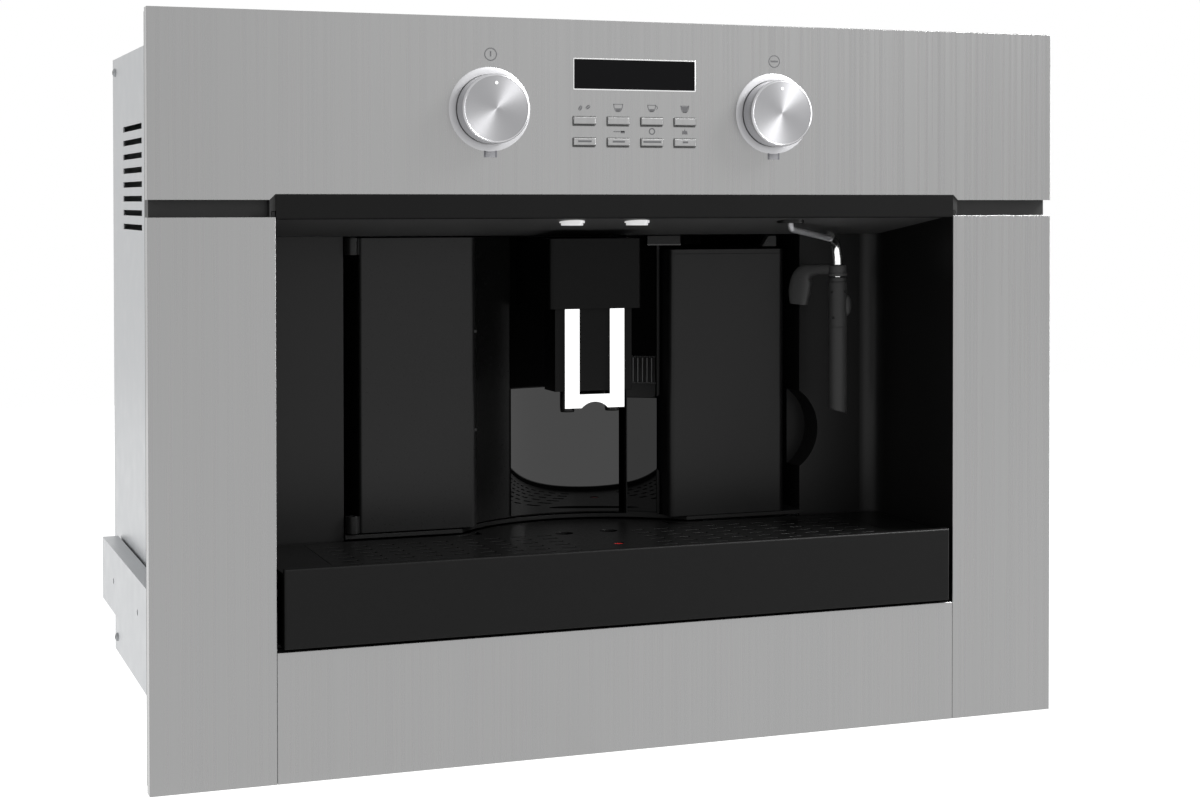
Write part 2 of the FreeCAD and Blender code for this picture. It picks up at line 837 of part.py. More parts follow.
keep("lamp_lenses", grouped("lamp_lenses", *[lamp(x) for x in lamp_places]))


# ---- bay frame: walls, floor and finger scoops of the two service bays ----

wall_t = 2
wall_a = bay_left
niche_disc = (s.niche_x, niche_y)


def bay_wall(name, x0, x1, y0, y1):
    return block(name, x0, x1, y0, y1, floor_low, ceiling_back)


bay_pieces = [
    bay_wall("bay_wall_left", wall_a - wall_t, wall_a, recess_back + s.liner_t, bay_back),
    bay_wall("bay_wall_middle", wall_b - wall_t, wall_b, face + 15, bay_back),
    bay_wall("bay_wall_right", s.bay_right, s.bay_right + wall_t, recess_back + s.liner_t, bay_back),
    block("bay_wall_back", wall_a - wall_t, s.bay_right + wall_t, bay_back, bay_back + wall_t,
          s.body_low + s.cover_t, ceiling_back),
    block("bay_floor", wall_a, s.bay_right, face + 0.5, bay_back, floor_low, floor_top),
    common(
        "niche_strip",
        cut("niche_ring", rod("niche_out", "Z", *niche_disc, floor_low, ceiling_back, s.niche_r + s.door_wall),
            rod("niche_in", "Z", *niche_disc, floor_low - 1, ceiling_back + 1, s.niche_r)),
        block("niche_range", strip_left, wall_b, face, bay_back, floor_low - 1, ceiling_back + 1),
    ),
]
scoop_floor = recess_back + 22
scoop_cups = [
    common(
        f"scoop_cup_{side}",
        cut(f"scoop_rim_{side}", rod(f"scoop_out_{side}", "Y", x, s.scoop_z, face + 6, scoop_floor + 2, s.scoop_r + 2),
            rod(f"scoop_in_{side}", "Y", x, s.scoop_z, face, scoop_floor, s.scoop_r)),
        reach,
    )
    for side, x, reach in (
        ("left", scoop_left, block("scoop_reach_left", wall_b - s.scoop_reach - 2, wall_b, face + 15,
                                   scoop_floor + 2, floor_top, ceiling_back)),
        ("right", scoop_right, block("scoop_reach_right", s.bay_right, s.bay_right + s.scoop_reach + 2,
                                     recess_back + s.liner_t, scoop_floor + 2, floor_top, ceiling_back)),
    )
]
scoop_cups[0] = cut("scoop_cup_trimmed", scoop_cups[0],
                    rod("niche_clearance", "Z", *niche_disc, floor_top, ceiling_back, s.niche_r))
coupling_x = s.tank_left + s.tank_w / 2
coupling_z = floor_top + 16
bay_cuts = joined(
    "bay_cuts",
    rod("coupling_hole", "Y", coupling_x, coupling_z, bay_back - 1, bay_back + wall_t + 1, 5),
    rod("floor_disc", "Z", *niche_disc, floor_low - 1, floor_top + 1, s.niche_r),
    rod("scoop_hole_left", "Y", scoop_left, s.scoop_z, face - 1, scoop_floor, s.scoop_r),
    rod("scoop_hole_right", "Y", scoop_right, s.scoop_z, face - 1, scoop_floor, s.scoop_r),
)
bay_walls = cut("bay_walls", joined("bay_blank", *bay_pieces), bay_cuts)
keep("bay_frame", joined("bay_frame", bay_walls, *scoop_cups))

hinge_x = -(s.door_left + s.lug_r - 0.5)
hinge_y = face + 3
door_low = floor_top + s.door_gap
door_top = ceiling_back - s.door_gap
door_pins = [
    rod("hinge_pin_low", "Z", hinge_x, hinge_y, floor_top, door_low + s.lug_ht - 2, s.pin_r),
    rod("hinge_pin_top", "Z", hinge_x, hinge_y, door_top - s.lug_ht + 2, ceiling_back, s.pin_r),
]


# ---- service door: one moulding with a flat block, the concave niche wall and two hinge lugs ----


def door_hollow(sketch, x0, x1, x2, y0, y1):
    """The space inside the door: a box from x0 to x1, then the room behind the niche's round wall up to x2."""
    radius = s.niche_r + s.door_wall

    def wall_point(x):
        return x, niche_y + (radius.value**2 - (x - s.niche_x).value ** 2) ** 0.5

    points = [wall_point(x1), (x1, y0), (x0, y0), (x0, y1), (x2, y1), wall_point(x2)]
    for here, there in zip(points, points[1:]):
        sketch.addGeometry(Part.LineSegment(vector(*here), vector(*there)), False)
    crown = vector(s.niche_x, niche_y + radius)
    arc = sketch.addGeometry(Part.Arc(vector(*points[-1]), crown, vector(*points[0])), False)
    for line in range(4):
        sketch.addConstraint(Sketcher.Constraint("Coincident", line, 2, line + 1, 1))
        pin_point(sketch, line, 2, *points[line + 1])
    pin_point(sketch, arc, 3, s.niche_x, niche_y)
    held = sketch.addConstraint(Sketcher.Constraint("Radius", arc, radius.value))
    bind(sketch, f"Constraints[{held}]", radius)
    for line, line_end, arc_end, x in ((4, 2, 1, x2), (0, 1, 2, x1)):
        sketch.addConstraint(Sketcher.Constraint("Coincident", line, line_end, arc, arc_end))
        index = sketch.addConstraint(Sketcher.Constraint("DistanceX", -1, 1, arc, arc_end, x.value))
        bind(sketch, f"Constraints[{index}]", x)


door_left = -s.door_left
block_right = door_left + s.door_block_w
door_back = face + s.door_depth
door = new_body("service_door")
pad(door, "XY", door_low, door_top, rectangle, block_right - 3, s.door_right, face, door_back)
pocket(door, "XY", door_low - 1, door_top + 1, circle, *niche_disc, s.niche_r)
pad(door, "XY", door_low, door_top, rectangle, door_left, block_right, face, door_back)
fillet(door, 6, upright_at(block_right, face))
fillet(door, 2.5, upright_at(door_left, face))
pocket(door, "XY", door_low + s.door_wall, door_top - s.door_wall, door_hollow, door_left + s.door_wall,
       block_right - s.door_wall, s.door_right - s.door_wall, face + s.door_wall, door_back + 1)
pocket(door, "XY", door_low - 1, door_top + 1, rectangle, s.door_right - 12, s.door_right + 1,
       door_back - s.door_heel, door_back + 1)
for z in (door_low, door_top - s.lug_ht):
    pad(door, "XY", z, z + s.lug_ht, circle, hinge_x, hinge_y, s.lug_r)
    pad(door, "XY", z, z + s.lug_ht, rectangle, hinge_x, door_left + 1, hinge_y - 2, hinge_y + 2)
    pocket(door, "XY", z - 1, z + s.lug_ht + 1, circle, hinge_x, hinge_y, s.pin_r + s.shaft_fit)
for share in (0.33, 0.67):
    z = door_low + (door_top - door_low) * share
    pad(door, "XY", z, z + 2, rectangle, door_left + 1, block_right - 1, face + 1, door_back - 4)
keep("service_door", door)

spout_top = door_top - 0.5
spout_low = spout_top - s.spout_ht
carriage_low = spout_low - s.spout_hang
niche_panel_top = carriage_low - s.niche_panel_gap
keep("niche_panel", common(
    "niche_panel",
    cut("panel_ring", rod("panel_out", "Z", *niche_disc, door_low + 0.5, niche_panel_top, s.niche_r),
        rod("panel_in", "Z", *niche_disc, door_low, niche_panel_top + 1, s.niche_r - s.niche_panel_t)),
    block("panel_range", s.niche_x - s.niche_panel_left, s.door_right - 0.3, face, door_back, door_low,
          niche_panel_top + 1),
))

spout_half = s.spout_w / 2
spout_front = face - s.spout_reach
housing = new_body("spout_housing")
pad(housing, "XY", spout_low, spout_top, rectangle, s.niche_x - spout_half, s.niche_x + spout_half,
    spout_front, niche_back + 6)
fillet(housing, 3, upright_at(s.niche_x - spout_half, spout_front), upright_at(s.niche_x + spout_half, spout_front))
shell(housing, s.spout_wall, "Z", spout_low)


def ring(sketch, u, v, inner_r, outer_r):
    circle(sketch, u, v, inner_r)
    circle(sketch, u, v, outer_r)


pocket(housing, "XY", spout_low - 1, spout_top + 1, ring, *niche_disc, s.niche_r, s.niche_r + 40)
keep("spout_housing", housing)

# ---- spout carriage: slides up into the housing and carries two outlets behind a chrome trim ----

trim_front = spout_front + s.spout_wall + 0.3
carriage_front = trim_front + s.trim_t
carriage_top = spout_top - s.spout_wall - s.spout_travel - 1
carriage_half = s.carriage_w / 2
carriage = new_body("spout_carriage")
pad(carriage, "XY", carriage_low, carriage_top, rectangle, s.niche_x - carriage_half, s.niche_x + carriage_half,
    carriage_front, carriage_front + s.carriage_depth)
fillet(carriage, 3, upright_at(s.niche_x - carriage_half, carriage_front + s.carriage_depth),
       upright_at(s.niche_x + carriage_half, carriage_front + s.carriage_depth))
for side in (-1, 1):
    x = s.niche_x + side * s.outlet_pitch / 2
    y = carriage_front + 8
    pad(carriage, "XY", carriage_low - s.nozzle_l, carriage_low, circle, x, y, s.nozzle_r)
    pocket(carriage, "XY", carriage_low - s.nozzle_l - 1, carriage_low - 2, circle, x, y, s.nozzle_r - 1.5)
keep("spout_carriage", carriage)

trim_half = s.outlet_pitch / 2 + s.trim_w / 2
gap_half = s.outlet_pitch / 2 - s.trim_w / 2
trim_low = carriage_low - s.nozzle_l + 3
bridge_low = trim_low + 4
trim = new_body("spout_trim")
pad(trim, "XZ", trim_front, carriage_front, rectangle, s.niche_x - trim_half, s.niche_x + trim_half,
    trim_low, carriage_top - 1)
pocket(trim, "XZ", trim_front - 1, carriage_front + 1, rectangle, s.niche_x - gap_half, s.niche_x + gap_half,
       bridge_low + s.bridge_ht, carriage_top + 1)
pocket(trim, "XZ", trim_front - 1, carriage_front + 1, circle, s.niche_x, bridge_low - gap_half * 1.15,
       gap_half * 1.15)
keep("spout_trim", trim)


# ---- drip tray: basin with a bowed rear edge, wide rim, front, grate and level float ----

basin_low = deck - s.basin_depth
basin_front = front + 3
basin_back = face - 1.5
bow_r = s.niche_r - 1.5
tray = new_body("drip_tray")
pad(tray, "XY", basin_low, deck, rectangle, -s.basin_half, s.basin_half, basin_front, basin_back)
pad(tray, "XY", basin_low, deck, bow, *niche_disc, bow_r, basin_back - 1)
doc.recompute()
bow_reach = (bow_r.value**2 - (basin_back - niche_y).value ** 2) ** 0.5
fillet(tray, 22, upright_at(s.niche_x.value - bow_reach, basin_back),
       upright_at(s.niche_x.value + bow_reach, basin_back))
shell(tray, s.tray_wall, "Z", deck)
rim_half = open_half - s.tray_side_gap
for side in (-1, 1):
    edges = sorted((side * (s.basin_half - 1), side * rim_half), key=float)
    pad(tray, "XY", deck - s.rim_t, deck, rectangle, *edges, basin_front, basin_back)
    under = sorted((side * (rim_half - 3), side * rim_half), key=float)
    pad(tray, "XY", liner_low + 2.3, deck - s.rim_t, rectangle, *under, basin_front, basin_back - 8)
keep("drip_tray", tray)
rib_top = deck - s.grate_t - 0.3
ribs = []
for x in (-120, -60, 60, 120):
    rib = new_body(f"tray_rib_{len(ribs) + 1}")
    pad(rib, "XY", basin_low + s.tray_wall, rib_top, rectangle, x - 1, x + 1, basin_front + s.tray_wall,
        basin_back - s.tray_wall)
    ribs.append(rib)
keep("tray_ribs", grouped("tray_ribs", *ribs))

tray_face = new_body("tray_front")
tray_face_y = front - s.tray_proud
pad(tray_face, "XZ", tray_face_y, basin_front, rectangle, -rim_half, rim_half, tray_low, lip_top)
pocket(tray_face, "XZ", tray_face_y + s.tray_front_t, basin_front + 1, rectangle, -rim_half - 1, rim_half + 1,
       deck, lip_top + 1)
fillet(tray_face, 1.2, along_x_at(tray_face_y, lip_top), along_x_at(tray_face_y, tray_low),
       upright_at(-rim_half, tray_face_y), upright_at(rim_half, tray_face_y))
keep("tray_front", tray_face)

float_x = s.niche_x + 4
float_y = 16
grate = new_body("tray_grate")
grate_low = deck - s.grate_t
grate_half = s.basin_half - s.tray_wall - 0.4
grate_front = basin_front + s.tray_wall + 0.4
grate_back = basin_back - s.tray_wall - 0.4
pad(grate, "XY", grate_low, deck, rectangle, -grate_half, grate_half, grate_front, grate_back)
pad(grate, "XY", grate_low, deck, bow, *niche_disc, bow_r - s.tray_wall - 0.4, grate_back - 1)
side_clear = 1
pocket(grate, "XY", grate_low - 1, deck + 1, rectangle, -grate_half, block_right + side_clear, grate_back,
       niche_back)
pocket(grate, "XY", grate_low - 1, deck + 1, rectangle, s.tank_left - s.tank_side_gap - side_clear, grate_half,
       grate_back, niche_back)
for side in (-1, 1):
    x = side * (grate_half - 14) - s.slot_l / 2
    y = grate_front + 12
    slot = pocket(grate, "XY", grate_low - 1, deck + 1, rectangle, x, x + s.slot_l, y, y + s.slot_w)
    rows = doc.addObject("PartDesign::LinearPattern", "slot_rows")
    rows.Direction = (slot.Profile[0], ["V_Axis"])
    rows.Occurrences = 6
    bind(rows, "Length", s.slot_rows * 5)
    columns = doc.addObject("PartDesign::LinearPattern", "slot_columns")
    columns.Direction = (slot.Profile[0], ["H_Axis"])
    columns.Reversed = side > 0
    columns.Occurrences = 9
    bind(columns, "Length", s.slot_pitch * 8)
    spread = grate.newObject("PartDesign::MultiTransform", "slots")
    spread.Originals = [slot]
    spread.Transformations = [rows, columns]
    grate.Tip = spread
for side in (-1, 1):
    pocket(grate, "XY", grate_low - 1, deck + 1, circle, s.niche_x + side * s.outlet_pitch / 2, face - 20,
           s.outlet_r)
pocket(grate, "XY", grate_low - 1, deck + 1, circle, float_x, float_y, s.float_stem_r + 0.6)
keep("tray_grate", grate)

float_low = basin_low + s.tray_wall + 0.3
float_body = new_body("tray_float")
pad(float_body, "XY", float_low, float_low + 18, circle, float_x, float_y, s.float_r)
pad(float_body, "XY", float_low + 18, deck - 0.5, circle, float_x, float_y, s.float_stem_r)
fillet(float_body, 2, lambda edge: near(edge.BoundBox.ZMin, float_low) and near(edge.BoundBox.ZMax, float_low))
keep("tray_float", float_body)


# ---- water tank: open moulding with a lid, drawn out forwards ----

tank_right = s.tank_left + s.tank_w
tank_low = floor_top + 0.3
tank_top = ceiling_back - s.tank_head
tank_back = face + s.tank_depth
tank = new_body("water_tank")
pad(tank, "XY", tank_low, tank_top, rectangle, s.tank_left, tank_right, face, tank_back)
fillet(tank, 4, upright_at(s.tank_left, face), upright_at(tank_right, face),
       upright_at(s.tank_left, tank_back), upright_at(tank_right, tank_back))
shell(tank, s.tank_wall, "Z", tank_top)
keep("water_tank", tank)

lid = new_body("tank_lid")
inset = s.tank_wall + 0.3
pad(lid, "XY", tank_top, tank_top + s.tank_lid_t, rectangle, s.tank_left, tank_right, face, tank_back)
fillet(lid, 4, upright_at(s.tank_left, face), upright_at(tank_right, face),
       upright_at(s.tank_left, tank_back), upright_at(tank_right, tank_back))
pad(lid, "XY", tank_top - 4, tank_top, rectangle, s.tank_left + inset + 3, tank_right - inset - 3,
    face + inset + 3, tank_back - inset - 3)
pocket(lid, "XY", tank_top - 5, tank_top - 0.5, rectangle, s.tank_left + inset + 5, tank_right - inset - 5,
       face + inset + 5, tank_back - inset - 5)
keep("tank_lid", lid)

coupling = new_body("tank_coupling")
pad(coupling, "XZ", tank_back + 0.4, bay_back, circle, coupling_x, coupling_z, 11)
pad(coupling, "XZ", bay_back + wall_t, bay_back + wall_t + 12, circle, coupling_x, coupling_z, 6)
pad(coupling, "XZ", tank_back + 0.4, bay_back + wall_t, circle, coupling_x, coupling_z, 5)
keep("tank_coupling", coupling)


# ---- steam wand: socket, bent tube, thumb grip and frother sleeve ----

socket = new_body("wand_socket")
socket_low = ceiling_z(s.wand_y) - 1.5
pad(socket, "XY", socket_low, socket_low + 7.5, circle, s.wand_x, s.wand_y, s.socket_r)
pocket(socket, "XY", socket_low - 1, socket_low + 9, circle, s.wand_x, s.wand_y, s.wand_tube_r + s.shaft_fit)
keep("wand_socket", socket)

wand_end_x = s.wand_x + s.wand_reach_x
wand_end_y = s.wand_y + s.wand_reach_y
wand_stub_z = rail_low - s.wand_stub_drop
wand_knee_z = rail_low - s.wand_knee_drop
sleeve_top = rail_low - s.sleeve_drop
wand_tip = rail_low - s.wand_tip_drop


def sweep(points, radius, bends):
    """A round tube along straight runs joined by tangent arcs of the given radii."""
    corners_at = [FreeCAD.Vector(*[float(c) for c in point]) for point in points]
    edges = []
    start = corners_at[0]
    for i, bend in enumerate(bends, 1):
        before = (corners_at[i] - corners_at[i - 1]).normalize()
        after = (corners_at[i + 1] - corners_at[i]).normalize()
        turn = before.getAngle(after)
        back_off = float(bend) * tan(turn / 2)
        leave = corners_at[i] - before * back_off
        join = corners_at[i] + after * back_off
        inward = (after - before).normalize()
        middle = corners_at[i] + inward * (float(bend) / cos(turn / 2) - float(bend))
        edges.append(Part.LineSegment(start, leave).toShape())
        edges.append(Part.Arc(leave, middle, join).toShape())
        start = join
    edges.append(Part.LineSegment(start, corners_at[-1]).toShape())
    path = Part.Wire(edges)
    heading = (corners_at[1] - corners_at[0]).normalize()
    section = Part.Wire([Part.makeCircle(float(radius), corners_at[0], heading)])
    return path.makePipeShell([section], True, False)


knee = (wand_end_x - 8, wand_end_y - 6.5, wand_knee_z + 1.6)
thin_tube = sweep(
    [(s.wand_x, s.wand_y, socket_low + 12), (s.wand_x, s.wand_y, wand_stub_z), knee],
    s.wand_tube_r, [4])
toward = FreeCAD.Vector(float(s.wand_reach_x), float(s.wand_reach_y), 0).normalize()
elbow_start = FreeCAD.Vector(float(knee[0]), float(knee[1]), float(knee[2])) - toward * 1.5
elbow = sweep(
    [tuple(elbow_start), (wand_end_x, wand_end_y, wand_knee_z), (wand_end_x, wand_end_y, wand_tip)],
    s.wand_elbow_r, [s.elbow_bend])
wand = doc.addObject("Part::Feature", "steam_wand")
wand.Shape = thin_tube.fuse(elbow).removeSplitter()
wand.Placement = FreeCAD.Placement()
keep("steam_wand", wand)

sleeve_low = sleeve_top - s.sleeve_l
sleeve = new_body("frother_sleeve")
pad(sleeve, "XY", sleeve_low, sleeve_top, circle, wand_end_x, wand_end_y, s.sleeve_r)
pocket(sleeve, "XY", sleeve_low - 1, sleeve_top + 1, circle, wand_end_x, wand_end_y, s.wand_elbow_r + 0.08)
slant = [(wand_end_x - s.sleeve_r - 1, sleeve_low - 1), (wand_end_x + s.sleeve_r + 1, sleeve_low - 1),
         (wand_end_x - s.sleeve_r - 1, sleeve_low + 5)]
pocket(sleeve, "XZ", wand_end_y - s.sleeve_r - 1, wand_end_y + s.sleeve_r + 1, polygon, slant)
keep("frother_sleeve", sleeve)

grip = doc.addObject("Part::Feature", "wand_grip")
grip_bar = sweep(
    [
        (wand_end_x, wand_end_y, sleeve_top + 5.4),
        (wand_end_x - 10, wand_end_y + 14, sleeve_top + 4.2),
        (wand_end_x - 18, wand_end_y + 26, sleeve_top - 18.5),
    ],
    4.5, [12])
collar = Part.makeCylinder(6.2, 6.5, FreeCAD.Vector(float(wand_end_x), float(wand_end_y), float(sleeve_top) + 0.5))
bore = Part.makeCylinder(float(s.wand_elbow_r), 40,
                         FreeCAD.Vector(float(wand_end_x), float(wand_end_y), float(sleeve_top) - 10))
grip.Shape = grip_bar.fuse(collar).cut(bore).removeSplitter()
grip.Placement = FreeCAD.Placement()
keep("wand_grip", grip)


# ---- housing: base, side, rear and top covers ----

cover_in = body_half - s.cover_t
rear_in = s.body_depth - s.cover_t
base = new_body("base_plate")
pad(base, "XY", s.body_low, s.body_low + s.base_flange, rectangle, -cover_in, cover_in, s.body_front, rear_in)
shell(base, s.cover_t, "Z", s.body_low + s.base_flange)
keep("base_plate", base)

side_cover = new_body("side_cover")
pad(side_cover, "YZ", cover_in, body_half, rectangle, s.body_front, s.body_depth, s.body_low, body_top)
for row in range(8):
    pocket(side_cover, "YZ", cover_in - 1, body_half + 1, rectangle, 230, 330, 320 + 10 * row, 324 + 10 * row)
keep("side_covers", grouped("side_covers", side_cover, mirrored("side_cover_twin", side_cover)))

inlet_x = -200
switch_x = -150
inlet_z = 45
rear = new_body("rear_cover")
pad(rear, "XZ", rear_in, s.body_depth, rectangle, -cover_in, cover_in, s.body_low, body_top)
for row in range(9):
    pocket(rear, "XZ", rear_in - 1, s.body_depth + 1, rectangle, 90, 220, 120 + 12 * row, 125 + 12 * row)
pocket(rear, "XZ", rear_in - 1, s.body_depth + 1, rectangle, inlet_x - 14, inlet_x + 14, inlet_z - 10, inlet_z + 10)
pocket(rear, "XZ", rear_in - 1, s.body_depth + 1, rectangle, switch_x - 7, switch_x + 7, inlet_z - 11, inlet_z + 11)
keep("rear_cover", rear)

hopper_front = s.hopper_y - s.hopper_depth / 2
hopper_back = s.hopper_y + s.hopper_depth / 2
hopper_left = s.hopper_x - s.hopper_w / 2
hopper_right = s.hopper_x + s.hopper_w / 2
top_in = body_top - s.cover_t
adjuster_x = hopper_right + 40
top = new_body("top_cover")
pad(top, "XY", top_in, body_top, rectangle, -cover_in, cover_in, s.body_front, rear_in)
pocket(top, "XY", top_in - 1, body_top + 1, rectangle, hopper_left, hopper_right, hopper_front, hopper_back)
pocket(top, "XY", top_in - 1, body_top + 1, circle, adjuster_x, s.hopper_y, 4)
lid_low = body_top + 0.3
lid_hinge_y = hopper_back + 5
lid_hinge_z = lid_low + s.lid_knuckle_r
for ear in (hopper_left - 8, hopper_right + 6):
    pad(top, "YZ", ear, ear + 2, rectangle, lid_hinge_y - 3, lid_hinge_y + 3, top_in, lid_hinge_z + 2.4)
    pocket(top, "YZ", ear - 1, ear + 3, circle, lid_hinge_y, lid_hinge_z, s.lid_pin_r)
keep("top_cover", top)
lid_pin = new_body("hopper_lid_pin")
pad(lid_pin, "YZ", hopper_left - 8, hopper_right + 8, circle, lid_hinge_y, lid_hinge_z, s.lid_pin_r)
keep("hinge_pins", grouped("hinge_pins", *door_pins, lid_pin))

# ---- bean hopper, grinder and adjuster ----

grinder_low = ceiling_back + s.ceiling_t
grinder_top = grinder_low + 52
hopper = new_body("bean_hopper")
rim_sketch = new_sketch(hopper, "XY", body_top)
rectangle(rim_sketch, hopper_left + 0.3, hopper_right - 0.3, hopper_front + 0.3, hopper_back - 0.3)
throat = new_sketch(hopper, "XY", grinder_top)
rectangle(throat, s.hopper_x - 25, s.hopper_x + 25, s.hopper_y - 25, s.hopper_y + 25)
funnel = hopper.newObject("PartDesign::AdditiveLoft", "hopper_funnel")
funnel.Profile = rim_sketch
funnel.Sections = [throat]
inner_rim = new_sketch(hopper, "XY", body_top)
rectangle(inner_rim, hopper_left + 2.3, hopper_right - 2.3, hopper_front + 2.3, hopper_back - 2.3)
inner_throat = new_sketch(hopper, "XY", grinder_top)
rectangle(inner_throat, s.hopper_x - 22, s.hopper_x + 22, s.hopper_y - 22, s.hopper_y + 22)
hollow = hopper.newObject("PartDesign::SubtractiveLoft", "hopper_hollow")
hollow.Profile = inner_rim
hollow.Sections = [inner_throat]
keep("bean_hopper", hopper)

hopper_lid = new_body("hopper_lid")
pad(hopper_lid, "XY", lid_low, lid_low + s.lid_t, rectangle, hopper_left - 5, hopper_right + 5, hopper_front - 5,
    hopper_back + 5)
fillet(hopper_lid, 6, upright_at(hopper_left - 5, hopper_front - 5), upright_at(hopper_right + 5, hopper_front - 5))
pocket(hopper_lid, "XY", lid_low + 2, lid_low + 4, rectangle, s.hopper_x - 20, s.hopper_x + 20,
       hopper_front - 6, hopper_front + 2)
pad(hopper_lid, "YZ", hopper_left - 5, hopper_right + 5, circle, lid_hinge_y, lid_hinge_z, s.lid_knuckle_r)
pocket(hopper_lid, "YZ", hopper_left - 6, hopper_right + 6, circle, lid_hinge_y, lid_hinge_z,
       s.lid_pin_r + s.shaft_fit)
keep("hopper_lid", hopper_lid)

grinder = new_body("grinder")
pad(grinder, "XY", grinder_low, grinder_top, circle, s.hopper_x, s.hopper_y, s.grinder_r)
pocket(grinder, "XY", grinder_top - 30, grinder_top + 1, circle, s.hopper_x, s.hopper_y, 20)
pad(grinder, "XY", grinder_low, grinder_low + 30, rectangle, s.hopper_x - 18, s.hopper_x + 18,
    s.hopper_y + s.grinder_r - 4, s.hopper_y + s.grinder_r + 40)
pad(grinder, "XY", grinder_top - 12, grinder_top, rectangle, s.hopper_x + s.grinder_r - 4, adjuster_x + 8,
    s.hopper_y - 8, s.hopper_y + 8)
keep("grinder", grinder)

adjuster = new_body("grind_adjuster")
pad(adjuster, "XY", lid_low, lid_low + 3, circle, adjuster_x, s.hopper_y, s.adjuster_r)
pad(adjuster, "XY", grinder_top + 0.3, lid_low, circle, adjuster_x, s.hopper_y, 3.95)
pocket(adjuster, "XY", lid_low + 2, lid_low + 4, rectangle, adjuster_x - 1, adjuster_x + 1,
       s.hopper_y - s.adjuster_r, s.hopper_y - 4)
keep("grind_adjuster", adjuster)


# ---- brewing unit and grounds container behind the service door ----

unit_front = door_back + 4
unit_left = door_left + 3
unit_right = unit_left + 105
unit_back = bay_back - 12
brew = new_body("brewing_unit")
unit_top = ceiling_back - s.unit_head
pad(brew, "XY", floor_top, unit_top, rectangle, unit_left, unit_right, unit_front, unit_back)
fillet(brew, 8, upright_at(unit_left, unit_front), upright_at(unit_right, unit_front))
pocket(brew, "XZ", unit_front + 45, unit_back + 1, rectangle, unit_left + 3, unit_right - 3,
       floor_top + 3, unit_top - 3)
pocket(brew, "XZ", unit_front - 1, unit_front + 20, rectangle, unit_left + 12, unit_right - 12,
       floor_top + 60, unit_top - 12)
pad(brew, "XY", floor_top + 66, unit_top - 18, circle, (unit_left + unit_right) / 2, unit_front + 20, 17)
keep("brewing_unit", brew)

bin_left = unit_right + 10
bin_right = s.door_right - 2
bin_top = floor_top + 88
grounds = new_body("grounds_container")
pad(grounds, "XY", floor_top + 0.3, bin_top, rectangle, bin_left, bin_right, unit_front, unit_back)
fillet(grounds, 8, upright_at(bin_left, unit_front), upright_at(bin_right, unit_front))
shell(grounds, 2, "Z", bin_top)
keep("grounds_container", grounds)


# ---- boiler, pump and mains parts ----

boiler_left = s.bay_right + wall_t + 0.3
bay_middle_z = floor_top + 105.5
boiler = new_body("boiler")
boiler_low = bay_middle_z - s.boiler_ht / 2
boiler_high = bay_middle_z + s.boiler_ht / 2
boiler_y = face + 42
pad(boiler, "XZ", boiler_y, boiler_y + s.boiler_l, rectangle, boiler_left, boiler_left + 70, boiler_low, boiler_high)
fillet(boiler, 6, along_y_at(boiler_left + 70, boiler_low), along_y_at(boiler_left + 70, boiler_high))
for fin in range(6):
    fin_y = boiler_y + 12 + 18 * fin
    pocket(boiler, "XZ", fin_y, fin_y + 8, rectangle, boiler_left + 60, boiler_left + 71, boiler_low - 1,
           boiler_high + 1)
keep("boiler", boiler)

pump = new_body("pump")
pump_x = 200
pump_z = s.body_low + s.cover_t + 34
pump_y = face + 62
pump_back = pump_y + s.pump_l
pad(pump, "XZ", pump_y, pump_back, circle, pump_x, pump_z, 22)
pad(pump, "XZ", pump_y - 15, pump_y, circle, pump_x, pump_z, 10)
pad(pump, "XZ", pump_back, pump_back + 12, circle, pump_x, pump_z, 7)
for y in (pump_y + 15, pump_back - 25):
    pad(pump, "XZ", y, y + 10, rectangle, pump_x - 18, pump_x + 18, s.body_low + s.cover_t, pump_z)
keep("pump", pump)

inlet = new_body("mains_inlet")
pad(inlet, "XZ", rear_in - 22, s.body_depth + 1.5, rectangle, inlet_x - 13.8, inlet_x + 13.8, inlet_z - 9.8,
    inlet_z + 9.8)
chamfer(inlet, 5, along_y_at(inlet_x - 13.8, inlet_z + 9.8), along_y_at(inlet_x + 13.8, inlet_z + 9.8))
pad(inlet, "XZ", s.body_depth, s.body_depth + 1.5, rectangle, inlet_x - 18, inlet_x + 18, inlet_z - 13,
    inlet_z + 13)
pocket(inlet, "XZ", rear_in - 12, s.body_depth + 3, rectangle, inlet_x - 11, inlet_x + 11, inlet_z - 7,
       inlet_z + 7)
for x in (-7, 0, 7):
    pad(inlet, "XZ", rear_in - 13, s.body_depth - 3, rectangle, inlet_x + x - 1, inlet_x + x + 1, inlet_z - 2,
        inlet_z + 2)
keep("mains_inlet", inlet)

rocker = new_body("main_switch")
pad(rocker, "XZ", rear_in - 10, s.body_depth + 1, rectangle, switch_x - 6.7, switch_x + 6.7, inlet_z - 9,
    inlet_z + 9)
fillet(rocker, 2, along_x_at(s.body_depth + 1, inlet_z - 9), along_x_at(s.body_depth + 1, inlet_z + 9))
pad(rocker, "YZ", switch_x - 8.2, switch_x + 8.2, circle, s.body_depth - 6, inlet_z, 1.5)
keep("main_switch", rocker)


# ---- check every object and write one file per node ----

